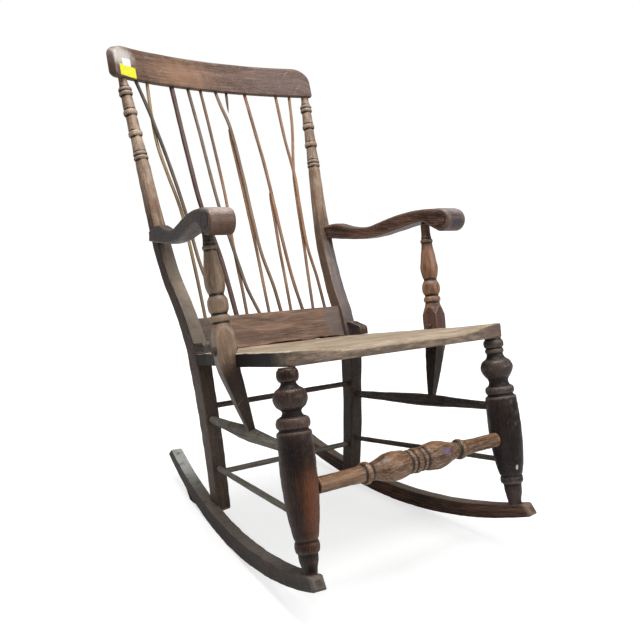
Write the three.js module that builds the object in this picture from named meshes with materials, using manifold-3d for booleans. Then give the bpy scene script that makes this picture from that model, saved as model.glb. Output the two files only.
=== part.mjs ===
// Stick-back rocking armchair, worn and stained country work, about 1.02 m tall.
// Millimetres, +Z up. The sitter faces -Y, and the sitter's left is +X.
// While it is put together, y = 0 and the floor's z = 0 lie at the front feet and under the rockers.
// Almost every piece is turned or sawn wood, so the shapes are turnings, bent lofts and sawn outlines.

import * as THREE from "three";
import { mergeVertices } from "three/addons/utils/BufferGeometryUtils.js";
import Module from "manifold-3d";

const wasm = await Module();
wasm.setup();

// Fit of one wooden piece in or on another
const clearance = 0.3;
const tenonDepth = 12;

// Seat: one plank, higher at the front, scooped and rolled over at its front edge
const seatFrontHeight = 435;
const seatTiltDeg = 9.8;
const seatThickness = 26;
const seatFrontY = 52;
const seatRearY = 500;
const seatFrontHalfWidth = 252;
const seatRearHalfWidth = 214;
const seatCornerRadius = 7;
const seatEdgeBevel = 3;
const seatScoopDepth = 8;
const seatRollRadius = 9;

// Rockers: sawn arcs that stand closer together at the back
const rockerRadius = 943;
const rockerCentreY = 310;
const rockerThickness = 26.5;
const rockerDepth = 33.5;
const rockerFrontReach = 355;
const rockerRearReach = 382;
const rockerGauge = 503.4;
const rockerToeInDeg = 6.7;

// How far the chair leans back from its drawn position when it stands at rest
const restLeanDeg = 3.4;

// Rear posts: leg and back post in one sawn piece, turned above the arms
const postHalfGauge = 174.5;
const postSplay = 0.0762;
const postWaist = 3;
const postWidth = 31.5;
const postFootHeight = 25;
const crestHeight = 952;
const crestY = 736;

// Front legs: turned, raked forwards at the foot
const legTopX = 245.5;
const legTopY = 69;
const legFootX = 248;
const legFootY = 0;
const legSeatTenon = 22;
const legFootTenon = 15;

// Stretchers
const frontStretcherHeight = 211;
const upperSideHeights = { rear: 223, front: 270 };
const lowerSideHeights = { rear: 118, front: 165 };
const upperSideDiameter = { end: 15, middle: 28 };
const lowerSideDiameter = { end: 11, middle: 12.5 };
const backStretcherHeights = { upper: 248, lower: 105 };
const backStretcherDiameter = 12.5;

// Arms and the turned posts under them
const armScrollX = 278;
const armScrollY = 232;
const armScrollHeight = 638.5;
const armScrollRadius = 24;
const armRearHeight = 607;
const armFrontHalfWidth = 27;
const armRearHalfWidth = 13.5;
const armPostTop = new THREE.Vector3(269.4, 296, 629);
const armPostKnee = new THREE.Vector3(260, 243, 376);
const armPostTip = new THREE.Vector3(225.5, 217, 256);
const armPostYawDeg = 13;
const armPostBlock = 36.5;
const armPegStation = 226;

// Crest rail: thick bowed plank with rounded top corners
const crestBowRadius = 570;
const crestBowY = 790;
const crestHalfWidth = 268;
const crestSideways = -5;
const crestThickness = 27;
const crestTall = 78;
const crestLeanDeg = 18.8;
const crestCornerRadius = { left: 38, right: 22 };
const crestTenonLength = 19;

// Lower back board between the posts, standing just above the seat
const boardTopHeight = 430.5;
const boardTopY = 508.5;
const boardBottomY = 475.5;
const boardSeatGap = 2.5;
const boardThickness = 17;
const boardHousing = 5;

// Sticks of the back
const stickSet = 5.3;

const colours = {
  darkStain: { color: 0x3f2a20, roughness: 0.55 },
  redStain: { color: 0x4c2e24, roughness: 0.5 },
  greyWood: { color: 0x6b5f53, roughness: 0.75 },
  tanWood: { color: 0xa98d68, roughness: 0.7 },
  goldWood: { color: 0x8a6238, roughness: 0.45 },
  dustyWood: { color: 0x77705f, roughness: 0.85 },
  orangeStick: { color: 0x9a6d4a, roughness: 0.65 },
};

const degrees = Math.PI / 180;
const mix = (a, b, t) => a + (b - a) * t;
const mirrored = (p, side) => new THREE.Vector3(p.x * side, p.y, p.z);

// Basic solids

// A closed skin over rings of equally many points; each end is capped by triangulating its ring.
function loft(rings, flatten) {
  const count = rings[0].length;
  const positions = rings.flat().flatMap((p) => [p.x, p.y, p.z]);
  const faces = [];
  for (let r = 0; r + 1 < rings.length; r += 1) {
    for (let i = 0; i < count; i += 1) {
      const a = r * count + i;
      const b = r * count + ((i + 1) % count);
      faces.push(a, b, b + count, a, b + count, a + count);
    }
  }
  for (const end of [0, rings.length - 1]) {
    const plan = rings[end].map(flatten);
    const cap = THREE.ShapeUtils.triangulateShape(plan, []);
    const clockwise = THREE.ShapeUtils.isClockWise(plan);
    for (const [a, b, c] of cap) {
      const order = (end === 0) !== clockwise ? [a, c, b] : [a, b, c];
      faces.push(...order.map((k) => k + end * count));
    }
  }
  const geometry = new THREE.BufferGeometry();
  geometry.setAttribute("position", new THREE.Float32BufferAttribute(positions, 3));
  geometry.setIndex(faces);
  return facingOut(geometry);
}

// Turns a closed mesh the right way round when its signed volume is negative.
function facingOut(geometry) {
  const p = geometry.getAttribute("position");
  const index = geometry.getIndex().array;
  const [a, b, c] = [new THREE.Vector3(), new THREE.Vector3(), new THREE.Vector3()];
  let volume = 0;
  for (let i = 0; i < index.length; i += 3) {
    a.fromBufferAttribute(p, index[i]);
    b.fromBufferAttribute(p, index[i + 1]);
    c.fromBufferAttribute(p, index[i + 2]);
    volume += a.dot(b.cross(c));
  }
  if (volume < 0) {
    for (let i = 0; i < index.length; i += 3) {
      [index[i + 1], index[i + 2]] = [index[i + 2], index[i + 1]];
    }
  }
  return geometry;
}

// A profile of [station, diameter] turned about the line from one point towards another.
function turned(profile, from, towards, count, grow = 0) {
  const first = profile[0];
  const last = profile[profile.length - 1];
  const points = [new THREE.Vector2(0, first[0] - grow)];
  for (const [station, diameter] of profile) {
    points.push(new THREE.Vector2(diameter / 2 + grow, station));
  }
  points[1].y -= grow;
  points[points.length - 1].y += grow;
  points.push(new THREE.Vector2(0, last[0] + grow));
  const geometry = new THREE.LatheGeometry(points, count);
  const axis = new THREE.Vector3().subVectors(towards, from).normalize();
  const turn = new THREE.Quaternion().setFromUnitVectors(new THREE.Vector3(0, 1, 0), axis);
  geometry.applyQuaternion(turn);
  geometry.translate(from.x, from.y, from.z);
  return geometry;
}

// A rounded bead between two stations, from the base diameter up to its crown.
function bead(start, end, base, crown) {
  const inset = (end - start) * 0.28;
  return [[start, base], [start + inset, crown], [end - inset, crown], [end, base]];
}

// A smooth swelling through a few [station, diameter] pairs.
function swell(stations, steps) {
  const curve = new THREE.SplineCurve(stations.map(([s, d]) => new THREE.Vector2(s, d)));
  return curve.getPoints(steps).map((p) => [p.x, p.y]);
}

// A superellipse ring: power 2 is round, 8 is a square with eased corners.
function section(centre, across, along, halfAcross, halfAlong, power, count = 12) {
  const ring = [];
  for (let i = 0; i < count; i += 1) {
    const angle = (2 * Math.PI * i) / count;
    const c = Math.cos(angle);
    const s = Math.sin(angle);
    const u = Math.sign(c) * Math.abs(c) ** (2 / power) * halfAcross;
    const v = Math.sign(s) * Math.abs(s) ** (2 / power) * halfAlong;
    ring.push(centre.clone().addScaledVector(across, u).addScaledVector(along, v));
  }
  return ring;
}

// Joining and cutting
function solid(geometry) {
  const bare = geometry.clone();
  bare.deleteAttribute("normal");
  bare.deleteAttribute("uv");
  const merged = mergeVertices(bare, 1e-4);
  return new wasm.Manifold(new wasm.Mesh({
    numProp: 3,
    vertProperties: new Float32Array(merged.getAttribute("position").array),
    triVerts: new Uint32Array(merged.getIndex().array),
  }));
}

function geometryOf(manifold) {
  const mesh = manifold.getMesh();
  const geometry = new THREE.BufferGeometry();
  geometry.setAttribute("position", new THREE.Float32BufferAttribute(mesh.vertProperties, 3));
  geometry.setIndex(Array.from(mesh.triVerts));
  return geometry;
}

function cut(geometry, ...tools) {
  let body = solid(geometry);
  for (const tool of tools) {
    body = body.subtract(solid(tool));
  }
  return geometryOf(body);
}

// Assembly
const assembly = new THREE.Group();

function place(name, geometry, colour) {
  geometry.computeVertexNormals();
  const mesh = new THREE.Mesh(geometry, new THREE.MeshStandardMaterial(colours[colour]));
  mesh.name = name;
  assembly.add(mesh);
}

const sides = [
  { side: 1, hand: "left" },
  { side: -1, hand: "right" },
];

// Heights and lines that several pieces share
const seatSlope = Math.tan(seatTiltDeg * degrees);
const seatTopAt = (y) => seatFrontHeight - seatSlope * (y - seatFrontY);
const seatUnderAt = (y) => seatTopAt(y) - seatThickness / Math.cos(seatTiltDeg * degrees);
const postXAt = (z) => postHalfGauge + postSplay * z;

// Rear posts
const postCurve = new THREE.CatmullRomCurve3([
  new THREE.Vector3(postXAt(postFootHeight), 437, postFootHeight),
  new THREE.Vector3(postXAt(159), 446, 159),
  new THREE.Vector3(postXAt(250), 458.5, 250),
  new THREE.Vector3(postXAt(330), 472, 330),
  new THREE.Vector3(postXAt(370) - postWaist, 489, 370),
  new THREE.Vector3(postXAt(415) - postWaist, 511, 415),
  new THREE.Vector3(postXAt(460) - postWaist, 541, 460),
  new THREE.Vector3(postXAt(510), 573, 510),
  new THREE.Vector3(postXAt(562), 600, 562),
  new THREE.Vector3(postXAt(650), 635, 650),
  new THREE.Vector3(postXAt(crestHeight - 173), crestY - 59, crestHeight - 173),
  new THREE.Vector3(postXAt(crestHeight), crestY, crestHeight),
], false, "centripetal");

// The point of the post's middle line at a height, and its direction there
function postAt(z) {
  let low = 0;
  let high = 1;
  for (let i = 0; i < 40; i += 1) {
    const middle = (low + high) / 2;
    if (postCurve.getPoint(middle).z < z) {
      low = middle;
    } else {
      high = middle;
    }
  }
  return { centre: postCurve.getPoint(low), along: postCurve.getTangent(low) };
}

// Front-to-back size of the sawn part at some heights
const postDepths = [[25, 33], [120, 33], [200, 37], [270, 41.5], [330, 42], [370, 40], [415, 37], [460, 33.5],
  [562, 30], [691, 30]];
function postDepthAt(z) {
  let k = 0;
  while (k + 2 < postDepths.length && z > postDepths[k + 1][0]) {
    k += 1;
  }
  const [[z0, d0], [z1, d1]] = [postDepths[k], postDepths[k + 1]];
  return mix(d0, d1, THREE.MathUtils.clamp((z - z0) / (z1 - z0), 0, 1));
}

// The turned part: distance down from the crest and diameter
const postTurning = [
  [0, 19], [10, 19.5], [18, 22], ...bead(23, 31, 25, 31), ...bead(32, 40, 26, 31.5),
  [41, 25], [56, 26], [71, 27.5], ...bead(73, 84, 27, 32),
  [86, 25.5], [103, 26.5], [118, 28], ...bead(120, 131, 27.5, 32.5),
  [133, 26], [150, 27.5], [165, 30], ...bead(166, 174, 28, 32.5), ...bead(175, 183, 28, 33),
  [185, 30], [200, 31],
];

function post(side, grow = 0) {
  const rings = [];
  const ringAt = (z, width, depth, power) => {
    const { centre, along } = postAt(z);
    const across = new THREE.Vector3(1, 0, 0).addScaledVector(along, -along.x).normalize();
    const back = new THREE.Vector3().crossVectors(along, across);
    const ring = section(centre, across, back, width / 2 + grow, depth / 2 + grow, power);
    rings.push(ring.map((p) => mirrored(p, side)));
  };
  const sawnTop = crestHeight - 205;
  const sawnHeights = [postFootHeight, 92, 159, 244, 290, 330, 360, 390, 415, 453, 491, 527, 562, 606, 660, 715];
  for (const z of sawnHeights.filter((height) => height < sawnTop - 20)) {
    const fade = THREE.MathUtils.smoothstep(z, 580, sawnTop);
    ringAt(z, mix(postWidth, 31, fade), postDepthAt(z), mix(8, 2.6, fade));
  }
  for (const [down, diameter] of [...postTurning].reverse()) {
    ringAt(crestHeight - down, diameter, diameter, 2);
  }
  return loft(rings, (p) => new THREE.Vector2(p.x, p.y));
}

// Round tenon that carries the crest rail
function postTenon(side, grow = 0) {
  const { centre, along } = postAt(crestHeight);
  const tip = centre.clone().add(along);
  return turned([[-4, 14], [crestTenonLength, 14]], mirrored(centre, side), mirrored(tip, side), 10, grow);
}

// Rockers
function rocker(side, grow = 0) {
  const bottom = rockerRadius + grow;
  const top = rockerRadius - rockerDepth - grow;
  const outline = new THREE.Shape();
  const reachAngle = (reach, radius) => Math.asin((reach + grow) / radius);
  const steps = 22;
  const endThinning = 9;
  const frontBottom = reachAngle(rockerFrontReach, bottom);
  const rearBottom = reachAngle(rockerRearReach, bottom);
  for (let i = 0; i <= steps; i += 1) {
    const angle = mix(-frontBottom, rearBottom, i / steps);
    const y = rockerCentreY + bottom * Math.sin(angle);
    const z = rockerRadius - bottom * Math.cos(angle);
    if (i === 0) {
      outline.moveTo(y, z);
    } else {
      outline.lineTo(y, z);
    }
  }
  const frontTop = reachAngle(rockerFrontReach - 20, top);
  const rearTop = reachAngle(rockerRearReach - 26, top);
  for (let i = 0; i <= steps; i += 1) {
    const share = i / steps;
    const angle = mix(rearTop, -frontTop, share);
    const thinning = endThinning * Math.abs(2 * share - 1) ** 2;
    const y = rockerCentreY + (top + thinning) * Math.sin(angle);
    const z = rockerRadius - (top + thinning) * Math.cos(angle);
    outline.lineTo(y, z);
  }
  const eased = 1.6;
  const geometry = new THREE.ExtrudeGeometry(outline, {
    depth: rockerThickness + 2 * grow - 2 * eased,
    bevelEnabled: true,
    bevelSize: eased,
    bevelThickness: eased,
    bevelOffset: -eased,
    bevelSegments: 1,
  });
  geometry.translate(0, 0, -rockerThickness / 2 - grow + eased);
  // The outline's axes (y, z, thickness) become (Y, Z, X)
  geometry.applyMatrix4(new THREE.Matrix4().set(0, 0, 1, 0, 1, 0, 0, 0, 0, 1, 0, 0, 0, 0, 0, 1));
  geometry.rotateZ(side * rockerToeInDeg * degrees);
  geometry.translate((side * rockerGauge) / 2, 0, 0);
  return geometry;
}

// A thin wedge nailed under the right rocker behind the rear leg
function rockerWedge() {
  const [frontY, rearY, tipY] = [508, 572, 541];
  const drop = 17;
  const thickness = 15;
  const underside = (y) => rockerRadius - Math.sqrt(rockerRadius ** 2 - (y - rockerCentreY) ** 2);
  const shape = new THREE.Shape();
  shape.moveTo(frontY, underside(frontY) - clearance - 4);
  shape.lineTo(tipY - 8, underside(tipY) - drop + 1);
  shape.lineTo(tipY + 2, underside(tipY) - drop);
  shape.lineTo(rearY, underside(rearY) - clearance - 1.5);
  shape.lineTo(rearY, underside(rearY) + 6);
  shape.lineTo(frontY, underside(frontY) + 6);
  shape.closePath();
  const geometry = new THREE.ExtrudeGeometry(shape, { depth: thickness, bevelEnabled: false });
  geometry.translate(0, 0, -thickness / 2);
  geometry.applyMatrix4(new THREE.Matrix4().set(0, 0, 1, 0, 1, 0, 0, 0, 0, 1, 0, 0, 0, 0, 0, 1));
  geometry.rotateZ(-rockerToeInDeg * degrees);
  geometry.translate(-rockerGauge / 2, 0, 0);
  return cut(geometry, rocker(-1, clearance));
}

// Front legs
function rockerTopAt(y) {
  const radius = rockerRadius - rockerDepth;
  return rockerRadius - Math.sqrt(radius ** 2 - (y - rockerCentreY) ** 2);
}
const legTop = new THREE.Vector3(legTopX, legTopY, seatUnderAt(legTopY));
const legFoot = new THREE.Vector3(legFootX, legFootY, rockerTopAt(legFootY));
const legLength = legTop.distanceTo(legFoot);

// Stations run down from the seat; the body and the foot keep their distance from the rocker.
const up = (fromFoot) => legLength - fromFoot;
const legTurning = {
  right: [
    [0.8, 30], ...bead(3, 24, 30, 38),
    [27, 27], ...swell([[31, 31], [39, 51], [51, 58.5], [63, 51], [71, 34]], 6),
    [73, 32], [79, 37], ...bead(82, 100, 50, 57.5), [102.5, 51], [105, 57.5],
    ...swell([[110, 58.5], [150, 61], [up(145), 61.5], [up(91), 54.5], [up(50), 42]], 6),
    ...bead(up(46), up(32), 38, 41), [up(27), 31], ...swell([[up(24), 31], [up(16), 32], [up(0), 23]], 3),
  ],
  left: [
    [0.8, 33], ...bead(4, 20, 33, 40.5),
    ...bead(21, 31, 32, 37.5), [35, 33.5], ...swell([[39, 37], [48, 57], [60, 64.5], [73, 55], [83, 41]], 6),
    [87, 39], [94, 42], ...bead(97, 112, 50, 57.5), [114.5, 53], [117, 60],
    ...swell([[122, 62], [160, 65], [up(132), 65.3], [up(76), 55.5], [up(54), 46]], 6),
    ...bead(up(49), up(36), 42, 45.5), [up(31), 35], ...swell([[up(28), 35], [up(18), 34], [up(0), 25.5]], 3),
  ],
};

function frontLeg(side, hand) {
  return turned(legTurning[hand], mirrored(legTop, side), mirrored(legFoot, side), 12);
}

// The leg's round tenons, one up into the seat and one down into the rocker
function legTenons(side, grow = 0) {
  const inside = 6;
  const [top, foot] = [mirrored(legTop, side), mirrored(legFoot, side)];
  return [
    turned([[-tenonDepth, legSeatTenon], [inside, legSeatTenon]], top, foot, 10, grow),
    turned([[legLength - inside, legFootTenon], [legLength + tenonDepth, legFootTenon]], top, foot, 10, grow),
  ];
}

// The point on a front leg's axis at a height
function legAt(z) {
  const t = (legTop.z - z) / (legTop.z - legFoot.z);
  return legTop.clone().lerp(legFoot, t);
}

// Stretchers
function rod(from, to, diameters, sideCount, grow = 0) {
  const length = from.distanceTo(to);
  const { end, middle } = diameters;
  const profile = swell([[0, end], [length * 0.25, mix(end, middle, 0.45)], [length * 0.52, middle],
    [length * 0.78, mix(end, middle, 0.4)], [length, end]], 6);
  return turned(profile, from, to, sideCount, grow);
}

function sideStretcher(side, heights, diameters, grow = 0) {
  const rear = postAt(heights.rear).centre;
  const front = legAt(heights.front);
  const reach = new THREE.Vector3().subVectors(front, rear).normalize();
  const from = rear.clone().addScaledVector(reach, 4);
  const to = front.clone().addScaledVector(reach, -6);
  return rod(mirrored(from, side), mirrored(to, side), diameters, 10, grow);
}

function backStretcher(height, grow = 0) {
  const end = postAt(height).centre;
  end.x -= 4;
  const length = 2 * end.x;
  return turned([[0, backStretcherDiameter], [length, backStretcherDiameter]], mirrored(end, -1), end, 10, grow);
}

// Half of the front stretcher's turning from its middle outwards; grown, only one side's plain end is made
function frontStretcher(side = 1, grow = 0) {
  const end = legAt(frontStretcherHeight);
  const reach = end.x - 8;
  const half = [
    [0, 47], [4, 46], [7.5, 41], [9, 41], [12, 44.5], [16, 44.5], [19, 41], [21, 41],
    ...swell([[23, 45], [36, 51], [52, 53.5], [68, 49], [86, 38], [98, 32.5]], 7),
    [103, 31.5], [106, 33], ...bead(108, 119, 34, 40.5), [121, 31],
    [reach - 90, 28], [reach - 24, 28.5], [reach - 22, 19], [reach, 18],
  ];
  const other = half.slice(1).map(([s, d]) => [-s, d]).reverse();
  const middle = new THREE.Vector3(0, end.y, end.z);
  const profile = grow > 0 ? half.slice(-4) : [...other, ...half];
  return turned(profile, middle, new THREE.Vector3(side, end.y, end.z), 12, grow);
}

// Seat: the bare plank, then its scoop and its worn front edge
function seatPlank(grow = 0) {
  const shape = new THREE.Shape();
  const inset = seatEdgeBevel;
  const front = seatFrontY + inset;
  const rear = seatRearY - inset;
  const wide = seatFrontHalfWidth - inset;
  const narrow = seatRearHalfWidth - inset;
  const corner = seatCornerRadius;
  shape.moveTo(-wide + corner, front);
  shape.lineTo(wide - corner, front);
  shape.absarc(wide - corner, front + corner, corner, -Math.PI / 2, 0, false);
  shape.bezierCurveTo(wide + 3, front + 150, wide - 12, front + 220, narrow + 2, front + 366);
  shape.lineTo(narrow, rear);
  shape.lineTo(-narrow, rear);
  shape.lineTo(-narrow - 2, front + 366);
  shape.bezierCurveTo(-wide + 12, front + 220, -wide - 3, front + 150, -wide, front + corner);
  shape.absarc(-wide + corner, front + corner, corner, Math.PI, 1.5 * Math.PI, false);
  const plank = new THREE.ExtrudeGeometry(shape, {
    depth: seatThickness - 2 * inset,
    bevelEnabled: true,
    bevelSize: inset + grow,
    bevelThickness: inset + grow,
    bevelSegments: 2,
    curveSegments: 5,
  });
  plank.translate(0, -seatFrontY, inset);
  return tilt(plank);
}

function seat() {
  // The scoop where the sitter sits, a shallow bowl sunk into the middle of the top
  const scoopHalfWidth = 205;
  const scoopHalfLength = 190;
  const bowlHeight = 60;
  const rim = Math.sqrt(1 - (1 - seatScoopDepth / bowlHeight) ** 2);
  const bowl = new THREE.SphereGeometry(1, 40, 28);
  bowl.scale(scoopHalfWidth / rim, scoopHalfLength / rim, bowlHeight);
  bowl.translate(0, 225, seatThickness + bowlHeight - seatScoopDepth);
  tilt(bowl);
  // The worn front edge, rolled over between the two corners
  const roll = new THREE.Shape();
  const r = seatRollRadius;
  roll.moveTo(-2, seatThickness - r);
  roll.lineTo(0, seatThickness - r);
  roll.absarc(r, seatThickness - r, r, Math.PI, Math.PI / 2, true);
  roll.lineTo(r, seatThickness + 2);
  roll.lineTo(-2, seatThickness + 2);
  roll.closePath();
  const rollLength = 2 * (seatFrontHalfWidth - 28);
  const wear = new THREE.ExtrudeGeometry(roll, { depth: rollLength, bevelEnabled: false, curveSegments: 5 });
  wear.translate(0, 0, -rollLength / 2);
  wear.applyMatrix4(new THREE.Matrix4().set(0, 0, 1, 0, 1, 0, 0, 0, 0, 1, 0, 0, 0, 0, 0, 1));
  tilt(wear);
  return cut(seatPlank(), bowl, wear);
}

// Lays a piece drawn flat on the seat's slope, its front edge at the seat's front underside
function tilt(geometry) {
  geometry.rotateX(-seatTiltDeg * degrees);
  geometry.translate(0, seatFrontY, seatUnderAt(seatFrontY));
  return geometry;
}

// Blocks that stand on the seat's rear corners against the posts
function seatCleat(side) {
  const [width, length, height] = [22, 54, 22];
  const nose = 9;
  const shape = new THREE.Shape();
  shape.moveTo(0, 0);
  shape.lineTo(length, 0);
  shape.lineTo(length, height);
  shape.lineTo(nose, height);
  shape.absarc(nose, height - nose, nose, Math.PI / 2, Math.PI, false);
  shape.closePath();
  const block = new THREE.ExtrudeGeometry(shape, { depth: width, bevelEnabled: false, curveSegments: 5 });
  block.translate(0, 0, -width / 2);
  block.applyMatrix4(new THREE.Matrix4().set(0, 0, 1, 0, 1, 0, 0, 0, 0, 1, 0, 0, 0, 0, 0, 1));
  block.rotateX(-seatTiltDeg * degrees);
  const frontY = 424;
  const post0 = postXAt(seatTopAt(frontY));
  block.translate(side * (post0 + 1), frontY, seatTopAt(frontY) + clearance);
  return cut(block, post(side, clearance));
}

// Crest rail
const crestLean = new THREE.Vector3(0, Math.sin(crestLeanDeg * degrees), Math.cos(crestLeanDeg * degrees));
const crestYAt = (x) => crestBowY - crestBowRadius + Math.sqrt(crestBowRadius ** 2 - x * x);

function crest() {
  const rings = [];
  const half = crestThickness / 2;
  const ease = 4;
  const stations = [];
  for (const d of [0, 2, 6, 12, 20, 30, 40, 75, 120, 170, 220]) {
    stations.push(-crestHalfWidth + d);
  }
  stations.push(0);
  const all = [...stations, ...stations.slice(0, -1).map((x) => -x).reverse()];
  // How far a rounded corner draws the edge back at a distance from the rail's end
  const rounding = (radius, fromEnd) =>
    (fromEnd < radius ? radius - Math.sqrt(radius ** 2 - (radius - fromEnd) ** 2) : 0);
  for (const station of all) {
    const fromEnd = crestHalfWidth - Math.abs(station);
    const x = station + crestSideways;
    const rise = rounding(6, fromEnd);
    const height = crestTall - rounding(station > 0 ? crestCornerRadius.left : crestCornerRadius.right, fromEnd);
    const bow = Math.asin(x / crestBowRadius);
    const outward = new THREE.Vector3(Math.sin(bow), Math.cos(bow), 0);
    const foot = new THREE.Vector3(x, crestYAt(x), crestHeight);
    const corner = (n, h) => foot.clone().addScaledVector(outward, n).addScaledVector(crestLean, h);
    rings.push([
      corner(-half, rise + 1.5), corner(-half, height - ease), corner(-half + 1.3, height - 1.3),
      corner(-half + ease, height), corner(half - ease, height), corner(half - 1.3, height - 1.3),
      corner(half, height - ease), corner(half, rise + 1.5), corner(half - 1.5, rise), corner(-half + 1.5, rise),
    ]);
  }
  return loft(rings, (p) => new THREE.Vector2(p.y - p.z * Math.tan(crestLeanDeg * degrees), p.z));
}

// Lower back board
function board(grow = 0) {
  const bottomHeight = seatTopAt(boardBottomY);
  const lean = Math.atan2(boardTopY - boardBottomY, boardTopHeight - bottomHeight);
  const rise = Math.hypot(boardTopY - boardBottomY, boardTopHeight - bottomHeight);
  const halfTop = postXAt(boardTopHeight) - postWidth / 2 + boardHousing + grow;
  const halfBottom = postXAt(bottomHeight) - postWidth / 2 + boardHousing + grow;
  const shape = new THREE.Shape();
  shape.moveTo(-halfBottom, -grow);
  shape.lineTo(halfBottom, -grow);
  shape.lineTo(halfTop, rise + grow);
  shape.lineTo(-halfTop, rise + grow);
  shape.closePath();
  const geometry = new THREE.ExtrudeGeometry(shape, { depth: boardThickness + 2 * grow, bevelEnabled: false });
  geometry.translate(0, 0, -boardThickness - grow);
  geometry.rotateX(Math.PI / 2 - lean);
  geometry.translate(0, boardBottomY, bottomHeight);
  return geometry;
}

// Sticks of the back: each is [share of the way up, x, set towards the sitter in stick sets]
const sticks = {
  back_stick_1: { colour: "greyWood", radius: 4.2, path: [[0, -123, 0], [0.2, -147, -0.6], [0.44, -156, -1],
    [0.62, -168, -1], [0.78, -183, -1], [0.86, -191, -0.8], [1, -210, 0]] },
  back_stick_2: { colour: "dustyWood", radius: 4, path: [[0, -164, 0], [0.2, -160, 0.6], [0.44, -161, 1],
    [0.6, -175, 1], [0.72, -184, 1], [0.86, -183, 0.8], [1, -178, 0]] },
  back_stick_3: { colour: "darkStain", radius: 5.8, path: [[0, -87, 0], [0.24, -91, 0], [0.46, -108, 0],
    [0.65, -110, 0], [1, -109, 0]] },
  back_stick_4: { colour: "greyWood", radius: 4.1, path: [[0, -28, 0], [0.1, -44, -0.6], [0.2, -51, -1],
    [0.3, -56, -1], [0.46, -62, -0.6], [0.8, -61, 0], [1, -63, 0]] },
  back_stick_5: { colour: "orangeStick", radius: 3.9, path: [[0, -60, 0], [0.1, -54, 0.6], [0.2, -50, 1],
    [0.3, -46, 1], [0.48, -35, 0.6], [0.8, -30, 0], [1, -28, 0]] },
  back_stick_6: { colour: "orangeStick", radius: 4.3, path: [[0, 30, 0], [0.1, 27, -0.6], [0.25, 17, -1],
    [0.4, 19, -1], [0.6, 24, -1], [0.84, 25, -1], [0.93, 18, -0.4], [1, 14, 0]] },
  back_stick_7: { colour: "dustyWood", radius: 3.9, taper: 0.3, path: [[0, -2, 0], [0.1, 4, 0.6],
    [0.25, 12, 1], [0.45, 18, 1], [0.6, 22, 1], [0.82, 26, 1]] },
  back_stick_8: { colour: "orangeStick", radius: 4.3, path: [[0, 90, 0], [0.13, 84, -0.6], [0.28, 84, -1],
    [0.45, 88, -1], [0.65, 93, -0.6], [0.82, 94, 0], [1, 93, 0]] },
  back_stick_9: { colour: "orangeStick", radius: 3.9, taper: 0.35, path: [[0, 58, 0], [0.13, 67, 0.4],
    [0.28, 77, 1], [0.42, 86, 1], [0.52, 91, 1]] },
  back_stick_10: { colour: "orangeStick", radius: 4, path: [[0, 155, 0], [0.13, 154, -0.6], [0.27, 149, -1],
    [0.43, 156, -1], [0.6, 166, -1], [0.78, 168, -0.4], [1, 174, 0]] },
  back_stick_11: { colour: "orangeStick", radius: 3.9, path: [[0, 121, 0], [0.14, 134, 0.5], [0.28, 147, 1],
    [0.43, 157, 1], [0.6, 170, 1], [0.7, 181, 0.7], [0.85, 197, 0], [1, 208, 0]] },
};

const boardTopMiddleY = boardTopY + boardThickness / 2 / Math.cos(29 * degrees);
function stickPoint([share, x, set]) {
  const y = mix(boardTopMiddleY, crestYAt(x), share) + set * stickSet;
  return new THREE.Vector3(x, y, mix(boardTopHeight, crestHeight, share));
}

// Sweeps a round section along a path; a taper thins the free end of a broken stick.
function stick({ path, radius, taper = 1 }, grow = 0) {
  const points = path.map(stickPoint);
  const first = new THREE.Vector3().subVectors(points[0], points[1]).normalize();
  points.unshift(points[0].clone().addScaledVector(first, tenonDepth + grow));
  if (taper === 1) {
    const count = points.length;
    const last = new THREE.Vector3().subVectors(points[count - 1], points[count - 2]).normalize();
    points.push(points[count - 1].clone().addScaledVector(last, tenonDepth + grow));
  }
  const curve = new THREE.CatmullRomCurve3(points, false, "centripetal");
  const steps = 11;
  const rings = [];
  for (let i = 0; i <= steps; i += 1) {
    const t = i / steps;
    const along = curve.getTangentAt(t);
    const across = new THREE.Vector3(1, 0, 0).addScaledVector(along, -along.x).normalize();
    const back = new THREE.Vector3().crossVectors(along, across);
    const thin = taper < 1 ? mix(1, taper, THREE.MathUtils.smoothstep(t, 0.82, 1)) : 1;
    const r = radius * thin + grow;
    rings.push(section(curve.getPointAt(t), across, back, r, r, 2, 7));
  }
  return loft(rings, (p) => new THREE.Vector2(p.x, p.y));
}

// The short stump of stick 7 that is left in the crest
function stickStump(grow = 0) {
  const root = stickPoint([1, 44, 0]);
  const tip = stickPoint([0.9, 35, 0]);
  const length = root.distanceTo(tip);
  const profile = [[-tenonDepth, 7.6], [0, 7.6], [length * 0.45, 7], [length * 0.8, 4.2], [length, 1.6]];
  return turned(profile, root, tip, 8, grow);
}

// Arms: an S-shaped side outline with a scroll at the front, wider there than at the back
const armPostCentre = postAt(armRearHeight).centre;
const armRearX = armPostCentre.x + 8;
function armXAt(y) {
  return mix(armScrollX, armRearX, (y - armScrollY) / (armPostCentre.y - armScrollY));
}
function armHalfWidthAt(y) {
  const share = THREE.MathUtils.clamp((y - armScrollY) / (armPostCentre.y - armScrollY), 0, 1);
  return mix(armFrontHalfWidth, armRearHalfWidth, THREE.MathUtils.smoothstep(share, -0.15, 0.8));
}

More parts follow.
